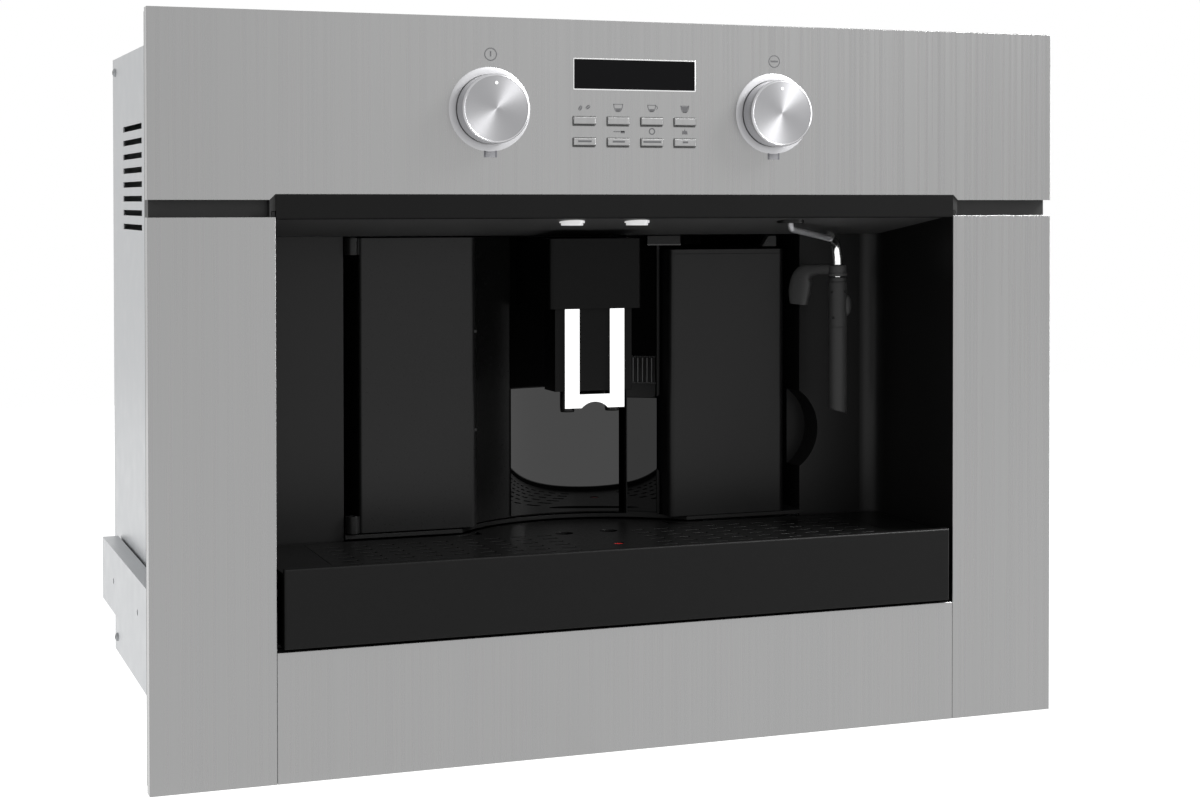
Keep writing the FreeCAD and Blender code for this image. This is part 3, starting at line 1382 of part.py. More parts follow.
doc.recompute()
broken = [item.Name for item in doc.Objects if "Invalid" in item.State or "Error" in item.State]
if broken:
    raise RuntimeError("did not recompute: " + ", ".join(broken))
os.makedirs("parts", exist_ok=True)
for name, item in nodes.items():
    shape = item.Shape
    if shape.isNull() or not shape.isValid() or not shape.Solids:
        raise RuntimeError(f"{name} has no valid solid")
    shape.exportStep(f"parts/{name}.step")
    box = shape.BoundBox
    print(f"{name:20s} solids {len(shape.Solids)} x {box.XMin:.1f}..{box.XMax:.1f} y {box.YMin:.1f}..{box.YMax:.1f}"
          f" z {box.ZMin:.1f}..{box.ZMax:.1f} volume {shape.Volume / 1000:.1f} cm3")
print(len(nodes), "nodes")
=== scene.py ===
"""A built-in coffee machine, dressed over its CAD pieces. Added pieces are drawn in millimetres along the
frame's own axes: x to the right, y into the cabinet, z up. Each is a closed skin on one body."""

import math

import bmesh
import bpy
import numpy as np
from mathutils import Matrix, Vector


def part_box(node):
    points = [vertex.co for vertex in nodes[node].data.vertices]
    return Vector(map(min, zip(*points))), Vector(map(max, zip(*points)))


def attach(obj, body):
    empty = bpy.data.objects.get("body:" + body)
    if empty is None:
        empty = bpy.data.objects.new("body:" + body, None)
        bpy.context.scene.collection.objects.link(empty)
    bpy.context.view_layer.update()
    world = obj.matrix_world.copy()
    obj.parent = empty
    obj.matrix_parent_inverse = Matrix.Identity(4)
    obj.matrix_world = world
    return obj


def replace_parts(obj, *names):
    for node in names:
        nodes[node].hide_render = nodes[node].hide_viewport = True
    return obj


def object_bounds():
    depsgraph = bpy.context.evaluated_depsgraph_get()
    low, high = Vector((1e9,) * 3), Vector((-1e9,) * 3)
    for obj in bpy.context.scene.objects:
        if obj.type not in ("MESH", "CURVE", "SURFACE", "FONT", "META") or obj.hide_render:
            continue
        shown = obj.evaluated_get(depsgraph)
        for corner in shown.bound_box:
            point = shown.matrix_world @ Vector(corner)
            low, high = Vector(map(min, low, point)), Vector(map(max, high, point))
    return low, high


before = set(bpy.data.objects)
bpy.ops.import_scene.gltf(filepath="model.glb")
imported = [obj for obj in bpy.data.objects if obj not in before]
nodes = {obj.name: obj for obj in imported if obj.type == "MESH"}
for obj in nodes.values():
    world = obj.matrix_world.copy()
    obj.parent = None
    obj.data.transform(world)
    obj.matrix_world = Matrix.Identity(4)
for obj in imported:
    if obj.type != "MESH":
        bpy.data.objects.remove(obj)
cad_low, cad_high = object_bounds()

# ---- runners: three rolled steel channels a side, zinc plated ----
# The outer member is screwed to the cabinet's wall and the inner one to the machine. The middle one runs
# between them on steel balls. Zinc has a faint cloudy grain, and its edges are slightly worn.


def linear(code):
    """An sRGB hex colour as linear light with full alpha."""
    shares = [int(code[i : i + 2], 16) / 255 for i in (0, 2, 4)]
    return [c / 12.92 if c <= 0.04045 else ((c + 0.055) / 1.055) ** 2.4 for c in shares] + [1.0]


def add(tree, kind, sockets, **settings):
    """Adds one shader node. A socket takes a value, or the output of another node."""
    made = tree.nodes.new(kind)
    for key, value in settings.items():
        setattr(made, key, value)
    for key, value in sockets.items():
        if isinstance(value, bpy.types.NodeSocket):
            tree.links.new(value, made.inputs[key])
        else:
            made.inputs[key].default_value = value
    return made


def finish(name, code, metallic=0.0, roughness=0.4, **sockets):
    """A plain finish: colour, metal or not, roughness, and any other socket with _ for a space."""
    material = bpy.data.materials.new(name)
    material.use_nodes = True
    shader = material.node_tree.nodes["Principled BSDF"]
    shader.inputs["Base Color"].default_value = linear(code)
    shader.inputs["Metallic"].default_value = metallic
    shader.inputs["Roughness"].default_value = roughness
    for key, value in sockets.items():
        shader.inputs[key.replace("_", " ")].default_value = value
    return material


def spread(tree, noise, low, high):
    """A noise's middle range, 0.3 to 0.7, mapped to low and high."""
    return add(tree, "ShaderNodeMapRange", {"Value": noise.outputs["Fac"], "From Min": 0.3, "From Max": 0.7,
                                            "To Min": low, "To Max": high}).outputs[0]


def grained(material, stretch, amount, bump=0.0, rough=0.0, edge=0.0):
    """Varies a finish with noise: stretch is the number of grains per metre along x, y and z, amount the
    share by which the colour swings, bump the height of the grain in metres, rough the swing of the roughness
    and edge the radius of worn edges in metres."""
    tree = material.node_tree
    shader = tree.nodes["Principled BSDF"]
    here = add(tree, "ShaderNodeTexCoord", {}).outputs["Object"]
    scaled = add(tree, "ShaderNodeVectorMath", {0: here, 1: stretch}, operation="MULTIPLY")
    noise = add(tree, "ShaderNodeTexNoise", {"Vector": scaled.outputs[0], "Scale": 1.0, "Detail": 4.0})
    base = list(shader.inputs["Base Color"].default_value)[:3]
    swing = spread(tree, noise, 1 - amount, 1 + amount)
    colour = add(tree, "ShaderNodeVectorMath", {0: base, "Scale": swing}, operation="SCALE")
    tree.links.new(colour.outputs[0], shader.inputs["Base Color"])
    if rough:
        mean = shader.inputs["Roughness"].default_value
        tree.links.new(spread(tree, noise, mean - rough, mean + rough), shader.inputs["Roughness"])
    normal = None
    if edge:
        normal = add(tree, "ShaderNodeBevel", {"Radius": edge}, samples=4).outputs[0]
    if bump:
        sockets = {"Height": noise.outputs["Fac"], "Distance": bump, "Strength": 1.0}
        if normal:
            sockets["Normal"] = normal
        normal = add(tree, "ShaderNodeBump", sockets).outputs[0]
    if normal:
        tree.links.new(normal, shader.inputs["Normal"])
    return material


def wear(material, *names):
    """Gives CAD nodes a finish."""
    for name in names:
        slots = nodes[name].data.materials
        slots.clear()
        slots.append(material)


def solid(name, grids, body, material, crease=32):
    """Closed skins over grids of points: rows run along the piece and columns round it. Equal points are
    welded, so a row of equal points closes a pole. Where the first and last row differ, both are capped."""
    weld = 2e-4
    points, faces = [], []
    for grid in grids:
        grid = np.asarray(grid, float)
        rows, cols = grid.shape[:2]
        keys = np.round(grid.reshape(-1, 3) / weld).astype(np.int64)
        _, first, index = np.unique(keys, axis=0, return_index=True, return_inverse=True)
        index = index.reshape(rows, cols) + len(points)
        points.extend(grid.reshape(-1, 3)[first] * 0.001)
        rings = [list(index[0]), list(index[-1])] if (index[0] != index[-1]).any() else []
        for i in range(rows - 1):
            for j in range(cols):
                k = (j + 1) % cols
                rings.append([index[i, j], index[i, k], index[i + 1, k], index[i + 1, j]])
        for ring in rings:
            ring = [int(a) for a, b in zip(ring, ring[1:] + ring[:1]) if a != b]
            if len(set(ring)) > 2:
                faces.append(ring)
    mesh = bpy.data.meshes.new(name)
    mesh.from_pydata([tuple(p) for p in points], [], faces)
    work = bmesh.new()
    work.from_mesh(mesh)
    bmesh.ops.recalc_face_normals(work, faces=work.faces)
    for edge in work.edges:
        edge.smooth = len(edge.link_faces) == 2 and edge.calc_face_angle(4) < math.radians(crease)
    for face in work.faces:
        face.smooth = True
    work.to_mesh(mesh)
    work.free()
    mesh.materials.append(material)
    made = bpy.data.objects.new(name, mesh)
    bpy.context.scene.collection.objects.link(made)
    even = made.modifiers.new("flat_faces_stay_flat", "WEIGHTED_NORMAL")
    even.keep_sharp = True
    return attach(made, body)


def place(u, v, w, axis):
    """Points from two coordinates across an axis, in x, y, z order, and one along it."""
    u, v, w = np.broadcast_arrays(np.asarray(u, float), v, w)
    if axis == "x":
        return np.stack([w, u, v], -1)
    if axis == "y":
        return np.stack([u, w, v], -1)
    return np.stack([u, v, w], -1)


def turned(profile, u, v, axis, steps=96):
    """A profile of (radius, distance along the axis) turned about the axis line through (u, v)."""
    radius, along = np.array(profile, float).T
    angle = np.arange(steps) * 2 * math.pi / steps
    radius, along = radius[:, None], along[:, None]
    return place(u + radius * np.cos(angle), v + radius * np.sin(angle), along, axis)


zinc = grained(finish("zinc_plated_steel", "B4B6B8", 1.0, 0.38), (60, 60, 60), 0.06, 0.00001, 0.06, 0.0003)
wear(zinc, "outer_runners", "middle_runners", "inner_runners", "selector_encoder")
ball_rows = np.arange(60, 320, 14)
tracks = 50.1, 89.9  # the two races of each channel
for side, name in ((-1, "left"), (1, "right")):
    ball = [(0, 277.6), (1.6, 277.3), (2.4, 276.6), (1.6, 275.9), (0, 275.7)]
    ball = [(r, side * along) for r, along in ball]
    balls = [turned(ball, y, z, "x", 12) for y in ball_rows for z in tracks]
    solid("runner_balls_" + name, balls, "middle_members", finish("runner_ball_" + name, "C8CACC", 1.0, 0.12))

# ---- fascia: four brushed stainless sheets, grain upright, clipped to the moulded front frame ----
# Their long edges are folded and catch a thin line of light. A broad, faint banding lies under the grain.
# The lip rail is a black moulding that closes the gap between the control panel and the recess.

steel = finish("brushed_stainless_steel", "949494", 1.0, 0.28)
grained(steel, (420, 420, 2.5), 0.015, 0.000002, 0.03, 0.0006)
tree = steel.node_tree
shader = tree.nodes["Principled BSDF"]
here = add(tree, "ShaderNodeTexCoord", {}).outputs["Object"]
broad = add(tree, "ShaderNodeVectorMath", {0: here, 1: (38, 38, 0.8)}, operation="MULTIPLY")
bands = add(tree, "ShaderNodeTexNoise", {"Vector": broad.outputs[0], "Scale": 1.0, "Detail": 2.0})
grain = shader.inputs["Base Color"].links[0].from_socket
both = add(tree, "ShaderNodeVectorMath", {0: grain, "Scale": spread(tree, bands, 0.994, 1.006)},
           operation="SCALE")
tree.links.new(both.outputs[0], shader.inputs["Base Color"])
wear(steel, "control_panel", "left_column", "right_column", "lower_panel")
frame_grey = finish("frame_grey_plastic", "242424", 0.0, 0.45, Specular_IOR_Level=0.25)
wear(grained(frame_grey, (900, 900, 900), 0.05), "front_frame")
rail_black = finish("rail_black_plastic", "070707", 0.0, 0.4, Specular_IOR_Level=0.11)
wear(grained(rail_black, (900, 900, 900), 0.05), "lip_rail")

# ---- knobs: turned from solid aluminium, spun face, bevelled rim, white index dot ----
# Each is pushed on a shaft behind the control panel, and turns in a shallow dished collar pressed into it;
# the collar's metal is lighter than the panel's, a painted reflection of the knob in the fascia.


def spun(name, code, roughness, centre_x, centre_z):
    """Aluminium faced on a lathe about a y axis line: the tool marks run round it, so it scatters light
    outwards from the centre and a lamp shows as a fan."""
    material = finish(name, code, 1.0, roughness, Anisotropic=0.72)
    tree = material.node_tree
    shader = tree.nodes["Principled BSDF"]
    here = add(tree, "ShaderNodeTexCoord", {}).outputs["Object"]
    arm = add(tree, "ShaderNodeVectorMath", {0: here, 1: (centre_x, 0, centre_z)}, operation="SUBTRACT")
    flat = add(tree, "ShaderNodeVectorMath", {0: arm.outputs[0], 1: (1, 0, 1)}, operation="MULTIPLY")
    world = add(tree, "ShaderNodeVectorTransform", {"Vector": flat.outputs[0]}, vector_type="VECTOR",
                convert_from="OBJECT", convert_to="WORLD")
    unit = add(tree, "ShaderNodeVectorMath", {0: world.outputs[0]}, operation="NORMALIZE")
    tree.links.new(unit.outputs[0], shader.inputs["Tangent"])
    reach = add(tree, "ShaderNodeVectorMath", {0: flat.outputs[0]}, operation="LENGTH")
    marks = add(tree, "ShaderNodeTexNoise", {"W": reach.outputs["Value"], "Scale": 9000.0, "Detail": 1.0},
                noise_dimensions="1D")
    swing = add(tree, "ShaderNodeMapRange", {"Value": marks.outputs["Fac"], "To Min": roughness * 0.9,
                                             "To Max": roughness * 1.1})
    tree.links.new(swing.outputs[0], shader.inputs["Roughness"])
    return material


panel_face = -22.0  # the control panel's front
knob_x = 93.8  # each knob's axis, left and right of the middle
bevel_metal = finish("bevelled_aluminium", "B8B8BA", 1.0, 0.3)
wall_metal = grained(finish("turned_aluminium_wall", "B8B8BA", 1.0, 0.16), (1500, 1500, 1500), 0.06)
white_paint = finish("white_index_paint", "F4F4F4", 0.0, 0.5)
collar_painted_reflection = finish("collar_aluminium_painted_reflection", "B4B4B6", 1.0, 0.55)
for name, x in (("knob_left", -knob_x), ("knob_right", knob_x)):
    low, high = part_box(name)
    z = (low.z + high.z) * 500
    face = low.y * 1000
    spun_face = spun(name + "_spun_aluminium", "9C9C9E", 0.53, x / 1000, z / 1000)
    disc = [(0, face + 0.15), (19.7, face + 0.15), (19.7, face + 0.6), (0, face + 0.6)]
    solid(name + "_face", [turned(disc, x, z, "y", 160)], name, spun_face)
    ring = [(19.7, face + 0.6), (19.72, face + 0.1), (19.9, face), (20.5, face + 0.3), (20.95, face + 0.9)]
    ring += [(20.95, face + 1.1), (19.7, face + 1.1), (19.7, face + 0.6)]
    solid(name + "_bevel", [turned(ring, x, z, "y", 160)], name, bevel_metal)
    wall = [(19.0, face + 1.1), (20.98, face + 1.1), (21, face + 1.4), (21, face + 14), (19.0, face + 14)]
    rim = solid(name + "_wall", [turned(wall + wall[:1], x, z, "y", 160)], name, wall_metal)
    core = [(0, face + 0.6), (18.5, face + 0.6), (18.5, face + 4), (6, face + 4), (6, face + 14)]
    core += [(3, face + 14), (3, high.y * 1000), (0, high.y * 1000)]
    solid(name + "_core", [turned(core, x, z, "y", 64)], name, wall_metal)
    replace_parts(rim, name)
    dot = [(0, face), (0.9, face + 0.02), (1.0, face + 0.2), (0, face + 0.2)]
    solid(name + "_index", [turned(dot, x, z + 15.4, "y", 24)], name, white_paint)
    # the collar's lighter metal is a painted reflection: it stands in for the knob mirrored in the fascia
    dish = [(21.3, 0), (21.3, 0.5), (22.2, 0.55), (24.2, 0.4), (25.4, 0.1), (25.6, 0), (21.3, 0)]
    dish = [(r, panel_face - proud) for r, proud in dish]
    solid(name + "_collar", [turned(dish, x, z, "y", 128)], "machine", collar_painted_reflection)

# ---- display: a tinted window over a module, with a fine bright trim pressed in round it ----
# Behind it the green control board carries its chips under a black module.


def rounded(points, radius, steps=6, closed=True):
    """An outline or path with each corner swapped for a curve that starts and ends at a distance from it."""
    points = np.array(points, float)
    radii = np.broadcast_to(radius, (len(points),))
    made = []
    for i, corner in enumerate(points):
        if not closed and i in (0, len(points) - 1):
            made.append(corner[None])
            continue
        before = points[i - 1] - corner
        after = points[(i + 1) % len(points)] - corner
        reach = min(radii[i], np.linalg.norm(before) / 2.01, np.linalg.norm(after) / 2.01)
        a = corner + before / np.linalg.norm(before) * reach
        b = corner + after / np.linalg.norm(after) * reach
        t = np.linspace(0, 1, steps)[:, None]
        made.append((1 - t) ** 2 * a + 2 * t * (1 - t) * corner + t**2 * b)
    return np.concatenate(made)


def box_outline(u0, u1, v0, v1, radius=0.5, steps=5):
    """A rectangle with rounded corners, anticlockwise."""
    return rounded([(u0, v0), (u1, v0), (u1, v1), (u0, v1)], radius, steps)


def grown(outline, by):
    """The outline moved outwards by a distance along its corner normals; it runs anticlockwise."""
    ahead = np.roll(outline, -1, 0) - outline
    behind = outline - np.roll(outline, 1, 0)
    ahead /= np.linalg.norm(ahead, axis=1)[:, None] + 1e-12
    behind /= np.linalg.norm(behind, axis=1)[:, None] + 1e-12
    mean = ahead + behind
    mean /= np.linalg.norm(mean, axis=1)[:, None] + 1e-12
    share = np.clip((mean * ahead).sum(1), 0.5, 1)
    return outline + np.stack([mean[:, 1], -mean[:, 0]], 1) * (by / share)[:, None]


def plate(outline, low, high, axis, edge=0.3):
    """An outline carried from low to high along an axis, its rims turned in over a quarter round."""
    steps = np.linspace(0, math.pi / 2, 4)
    rows = [(low + edge * (1 - math.sin(a)), -edge * (1 - math.cos(a))) for a in steps[::-1]]
    rows += [(high - edge * (1 - math.sin(a)), -edge * (1 - math.cos(a))) for a in steps]
    made = []
    for level, inset in rows:
        ring = grown(np.asarray(outline, float), inset)
        made.append(place(ring[:, 0], ring[:, 1], level, axis))
    return np.array(made)


window_glass = finish("display_window_glass", "060607", 0.0, 0.08, Specular_IOR_Level=0.06, IOR=1.5)
wear(window_glass, "display_window")
low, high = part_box("display_window")


def round_window(gap, radius):
    """The window's outline, grown by a gap on all sides."""
    left, right = low.x * 1000 - gap, high.x * 1000 + gap
    return box_outline(left, right, low.z * 1000 - gap, high.z * 1000 + gap, radius)


outer, inner = round_window(0.7, 0.8), round_window(0.05, 0.3)
rings = [(outer, -0.1), (outer, 0.15), (grown(outer, -0.2), 0.25), (inner, 0.2), (inner, -0.1), (outer, -0.1)]
trim = [place(ring[:, 0], ring[:, 1], panel_face - proud, "y") for ring, proud in rings]
solid("display_bezel", [trim], "machine", finish("bright_window_trim", "D6D6D6", 1.0, 0.25))
black_satin = finish("black_satin_plastic", "121212", 0.0, 0.42, Specular_IOR_Level=0.22)
grained(black_satin, (900, 900, 900), 0.1, 0.00002, 0.04, 0.0004)
wear(black_satin, "display_module")
wear(grained(finish("circuit_board_lacquer", "1E4D2B", 0.0, 0.35), (300, 300, 300), 0.15), "control_board")
chips = [plate(box_outline(x - half, x + half, z - 3, z + 3, 0.3), -9.4, -7.6, "y", 0.2)
         for x, z, half in ((-60, 420, 7), (-20, 428, 10), (30, 425, 6), (60, 380, 8), (0, 384, 12))]
solid("control_board_chips", chips, "machine", finish("chip_epoxy", "1A1A1C", 0.0, 0.5))

# ---- push buttons: eight plated bars that stand just proud of the panel ----
# The slot round each bar is drawn as a dark plate, a little wider at the left and below: painted shade, the
# bar's shadow in its slot.

button_metal = grained(finish("plated_button", "949494", 1.0, 0.36), (500, 500, 30), 0.03, 0.0, 0.03, 0.0005)
painted_slot_shade = finish("button_slot_painted_shade", "3C3C3C", 0.0, 0.6)
for i in range(8):
    name = f"button_{i + 1}"
    wear(button_metal, name)
    low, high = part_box(name)
    x, z = (low.x + high.x) * 500, (low.z + high.z) * 500
    # painted shade: a dark plate offset to the left and below each bar, standing in for its shadow in the
    # slot
    around = box_outline(x - 7.7, x + 7.2, z - 3.5, z + 2.5, 0.5)
    slot = plate(around, panel_face - 0.04, panel_face + 0.1, "y", 0.02)
    solid(name + "_slot", [slot], "machine", painted_slot_shade)

# ---- printed marks: thin ink on the panel and on the lower buttons, drawn as common signs ----
# Beans and cups stand over the upper buttons, a ring and a bar over the knobs, a start tab under each knob.


def swept(path, section, up=(0, 0, 1), sizes=None):
    """A flat section carried along a path. Its first coordinate lies across both the path and up, its second
    along up. Sizes stretch the section at each point."""
    path = np.array(path, float)
    heading = np.gradient(path, axis=0)
    heading /= np.linalg.norm(heading, axis=1)[:, None]
    side = np.cross(heading[0], up)
    side /= np.linalg.norm(side)
    sizes = np.ones((len(path), 2)) if sizes is None else np.asarray(sizes, float)
    rows = []
    for here, along, size in zip(path, heading, sizes):
        side = side - along * (side @ along)
        side /= np.linalg.norm(side)
        top = np.cross(side, along)
        rows.append([here + side * u * size[0] + top * v * size[1] for u, v in section])
    return np.array(rows)


def stroke(points, width, face=panel_face, closed=False):
    """A printed line: a ribbon of ink 0.06 mm thick along points in the panel's plane."""
    points = np.array(points, float)
    if closed:
        points = np.vstack([points, points[:1]])
    path = np.stack([points[:, 0], np.full(len(points), face - 0.03), points[:, 1]], 1)
    half = width / 2
    return swept(path, [(-half, -0.03), (half, -0.03), (half, 0.03), (-half, 0.03)], up=(0, -1, 0))


def arc(x, z, radius, start, stop, steps=16):
    """Points round a centre from one bearing to another, in degrees."""
    angle = np.radians(np.linspace(start, stop, steps))
    return [(x + radius * math.cos(a), z + radius * math.sin(a)) for a in angle]


def filled(outline):
    """A printed area inside an outline."""
    return plate(np.array(outline, float), panel_face - 0.06, panel_face, "y", 0.01)


def bean(x, z, tilt):
    """A coffee bean mark: a small tilted oval, printed in two halves with the groove left free."""
    halves = []
    cos, sin = math.cos(math.radians(tilt)), math.sin(math.radians(tilt))
    half_turn = np.linspace(0, math.pi, 14)
    for side in (-1, 1):
        oval = [(1.7 * math.cos(a), side * 0.14 + side * 0.95 * math.sin(a)) for a in half_turn[::side]]
        halves.append(filled([(x + u * cos - v * sin, z + u * sin + v * cos) for u, v in oval]))
    return halves


def cup(x, z, size, level, handle=False):
    """A cup mark: a bowl drawn as a line under a rim, filled up to a share of its height."""
    side = [(1.0, 0.75), (0.95, 0.2), (0.72, -0.45), (0.4, -0.8)]
    bowl = [(-u, v) for u, v in side] + side[::-1]
    top = -0.8 + level * 1.55
    wide = 0.4 + 0.55 * min(1, level * 1.2)
    fill = [(-0.4, -0.8), (0.4, -0.8), (wide, top), (-wide, top)]
    bowl, rim, fill = ([(x + u * size, z + v * size) for u, v in line]
                       for line in (bowl, [(-1.15, 0.75), (1.15, 0.75)], fill))
    marks = [stroke(bowl, 0.5), stroke(rim, 0.45), filled(fill)]
    if handle:
        marks.append(stroke(arc(x + size * 1.05, z + size * 0.15, size * 0.42, 80, -80, 8), 0.45))
    return marks


ink = finish("printed_ink", "444446", 0.0, 0.6)
columns = [-33.3, -11.1, 11.1, 33.3]  # the middles of the button columns
first, second, third, fourth = columns
ring_z = 429.4  # the signs over the knobs
marks = [stroke(arc(x, ring_z, 3.7, 0, 354, 40), 0.6, closed=True) for x in (-93.2, 94.6)]
marks += [stroke([(-93.2, 428), (-93.2, 431.4)], 0.8), stroke([(92.0, ring_z), (97.2, ring_z)], 1.1)]
marks += bean(first - 2.6, 397.7, 62) + bean(first + 2.4, 398.3, 38)
marks += cup(second, 398.2, 2.9, 0.45) + cup(third, 398.2, 2.6, 0.4, True) + cup(fourth, 398.0, 2.6, 0.9)
marks += [stroke([(second - 3.2, 383.4), (second + 4.2, 383.4)], 0.6)]
marks += [filled(box_outline(second + 1.8, second + 4.4, 382.4, 384.0, 0.2, 2))]
marks += [stroke(arc(third + 0.2, 383.8, 1.8, 0, 350, 18), 0.8, closed=True)]
bell = [(-1.9, 382.2), (1.9, 382.2), (1.5, 384.4), (0.3, 384.4), (0, 385.8), (-0.5, 384.4), (-1.6, 384.4)]
marks += [filled([(fourth + across, z) for across, z in bell])]
solid("panel_marks", marks, "machine", ink)
tab_low, tab_high = 366.8, 372.4
tabs, tab_edges = [], []
for x in (-knob_x, knob_x):
    tabs.append(filled(box_outline(x - 3.7, x + 4.5, tab_low, tab_high, 0.3, 2)))
    for edge in (x - 3.7, x + 3.3):
        strip = box_outline(edge, edge + 1.2, tab_low, tab_high, 0.2, 2)
        tab_edges.append(plate(strip, panel_face - 0.1, panel_face - 0.05, "y", 0.01))
solid("knob_start_marks", tabs, "machine", finish("grey_printed_ink", "77777A", 0.0, 0.6))
solid("knob_start_mark_edges", tab_edges, "machine", finish("dark_grey_printed_ink", "55555A", 0.0, 0.6))
for column, (x, half) in enumerate(zip(columns, (4.4, 4.0, 5.9, 1.8))):
    name = f"button_{column + 5}"
    line = stroke([(x - half, 377.2), (x + half, 377.2)], 1.2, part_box(name)[0].y * 1000)
    solid(name + "_mark", [line], name, ink)

# ---- recess: glossy black liner walls under a sloping grey ceiling with two lamps ----
# The bay frame behind is satin black and carries the door's oxide-black hinge pins, the tank's coupling and
# the steam wand's ball socket.

black_gloss = finish("black_gloss_plastic", "0E0E0E", 0.0, 0.4, Specular_IOR_Level=0.25)
wear(grained(black_gloss, (500, 500, 500), 0.05, 0.0, 0.02, 0.0004), "recess_walls")
wear(finish("ceiling_grey_plastic", "3E3E3E", 0.0, 0.5, Specular_IOR_Level=0.25), "recess_ceiling")
wear(black_satin, "bay_frame", "wand_socket", "tank_coupling")
lamp_glass = finish("lamp_glass", "808080", 0.0, 0.3, Emission_Strength=0.55, Emission_Color=linear("FFFFFF"))
wear(lamp_glass, "lamp_lenses")
wear(finish("black_oxide_steel", "1A1A1A", 1.0, 0.5), "hinge_pins")

# ---- service door: one moulding, hinged left, with a polished panel where cups stand ----
# The panel is glued to the cylindrical niche wall and mirrors the bright room over the tray's rear edge,
# which gives its light area a curved lower border. Above it the wall is matt. A fixed strip lies beside it.

door_gloss = finish("door_black_plastic", "141414", 0.0, 0.3, Specular_IOR_Level=0.22)
wear(grained(door_gloss, (700, 700, 700), 0.06, 0.00001, 0.03, 0.0005), "service_door")
niche_x, niche_y = -1.5, 31  # the niche's upright axis
wall_r, wall_back = 97.2, 97.95  # the lining's front and back
sill, panel_top, ceiling = 126.1, 213, 316


def curved_panel(angles, inner, outer, bottom, top):
    """A plate bent round the niche's axis: its section is a thin ring sector, carried from bottom to top."""
    around = np.concatenate([np.stack([inner * np.cos(angles), inner * np.sin(angles)], 1),
                             np.stack([outer * np.cos(angles), outer * np.sin(angles)], 1)[::-1]])
    rows = []
    for level, inset in ((bottom, 0.25), (bottom + 0.25, 0), (top - 0.25, 0), (top, 0.25)):
        ring = around.copy()
        ring[: len(angles)] *= (inner + inset) / inner
        rows.append(place(niche_x + ring[:, 0], niche_y + ring[:, 1], level, "z"))
    return np.array(rows)


panel_polish = finish("polished_black_panel", "060606", 0.0, 0.01, IOR=1.56)
door_span = np.radians(np.linspace(90 + 21.85, 90 - 24.95, 96))
polished = curved_panel(door_span, 96.75, 97.9, sill, panel_top)
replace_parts(solid("niche_panel_polished", [polished], "door", panel_polish), "niche_panel")
lining = finish("matt_black_lining", "020202", 0.0, 0.7, Specular_IOR_Level=0.03)
upper_wall = curved_panel(door_span, wall_r, wall_back, panel_top + 0.4, ceiling)
solid("niche_upper_lining", [upper_wall], "door", lining)
strip_span = np.radians(np.linspace(61.6, 49.2, 24))
strip_polish = finish("polished_black_strip", "050505", 0.0, 0.01, IOR=1.4)
solid("niche_strip_panel", [curved_panel(strip_span, 96.9, wall_back, sill, 205)], "machine", strip_polish)
ribs = []
for angle in np.radians(np.linspace(61.2, 51.5, 6)):
    x, y = niche_x + wall_r * math.cos(angle), niche_y + wall_r * math.sin(angle)
    ribs.append(plate(box_outline(x - 0.5, x + 0.5, y - 0.8, y + 0.8, 0.3, 3), 215.5, 232.5, "z", 0.2))
for level in (214.6, 232.6):
    ribs.append(curved_panel(strip_span, 96.6, 97.9, level, level + 1.0))
solid("niche_strip_lining", [curved_panel(strip_span, wall_r, wall_back, 234, ceiling)], "machine", lining)
solid("niche_strip_grille", ribs, "machine", finish("grille_plastic", "2A2A2A", 0.0, 0.35))

# ---- spout: a housing on the door, a carriage that slides in it, chrome trim and two outlets ----
# The trim is one U-shaped plated bar, clipped to the carriage's front.

spout_black = finish("spout_black_plastic", "060606", 0.0, 0.35, Specular_IOR_Level=0.085)
wear(grained(spout_black, (700, 700, 700), 0.06, 0.0, 0.03, 0.0005), "spout_housing", "spout_carriage")
wear(finish("polished_chrome", "FCFCFC", 1.0, 0.04), "spout_trim")
outlet_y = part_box("spout_carriage")[0].y * 1000 + 8
tip = [(3.0, 202.0), (3.6, 201.9), (4.6, 202.6), (4.9, 205), (4.9, 216), (4.5, 216), (4.5, 203), (3.0, 203)]
tip += tip[:1]
for name, x in (("outlet_left", -17.0), ("outlet_right", 14.0)):
    solid("spout_" + name, [turned(tip, x, outlet_y, "z", 48)], "spout", black_satin)

# ---- drip tray: satin black front, ribbed basin, perforated grate that lifts out, red float ----
# The basin slides out by its front. The grate lies in the basin's rim, and the float shows in its hole.

tray_plastic = finish("tray_black_plastic", "0B0B0B", 0.0, 0.38, Specular_IOR_Level=0.12)
grained(tray_plastic, (900, 900, 900), 0.08, 0.00001, 0.04, 0.0008)
wear(tray_plastic, "tray_front", "drip_tray", "tray_ribs")
grate_plastic = finish("grate_plastic", "0B0B0B", 0.0, 0.34, Specular_IOR_Level=0.17)
wear(grained(grate_plastic, (600, 600, 600), 0.1, 0.0, 0.05, 0.0004), "tray_grate")
wear(finish("red_float_plastic", "8E1414", 0.0, 0.35), "tray_float")

# ---- water tank: dark smoked plastic with a lid, drawn out by the finger scoops at its sides ----
# A catch under the ceiling holds its top, and a guide at the right keeps it upright. The lighter grey lip
# along the catch's lower edge is a painted highlight.

tank_plastic = finish("smoked_tank_plastic", "121212", 0.0, 0.33, Specular_IOR_Level=0.2)
wear(grained(tank_plastic, (500, 500, 500), 0.04, 0.0, 0.03, 0.0006), "water_tank", "tank_lid")
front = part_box("water_tank")[0].y * 1000
catch = plate(box_outline(50, 74.5, 310.8, 317, 0.6), front + 3, front + 9, "y", 0.5)
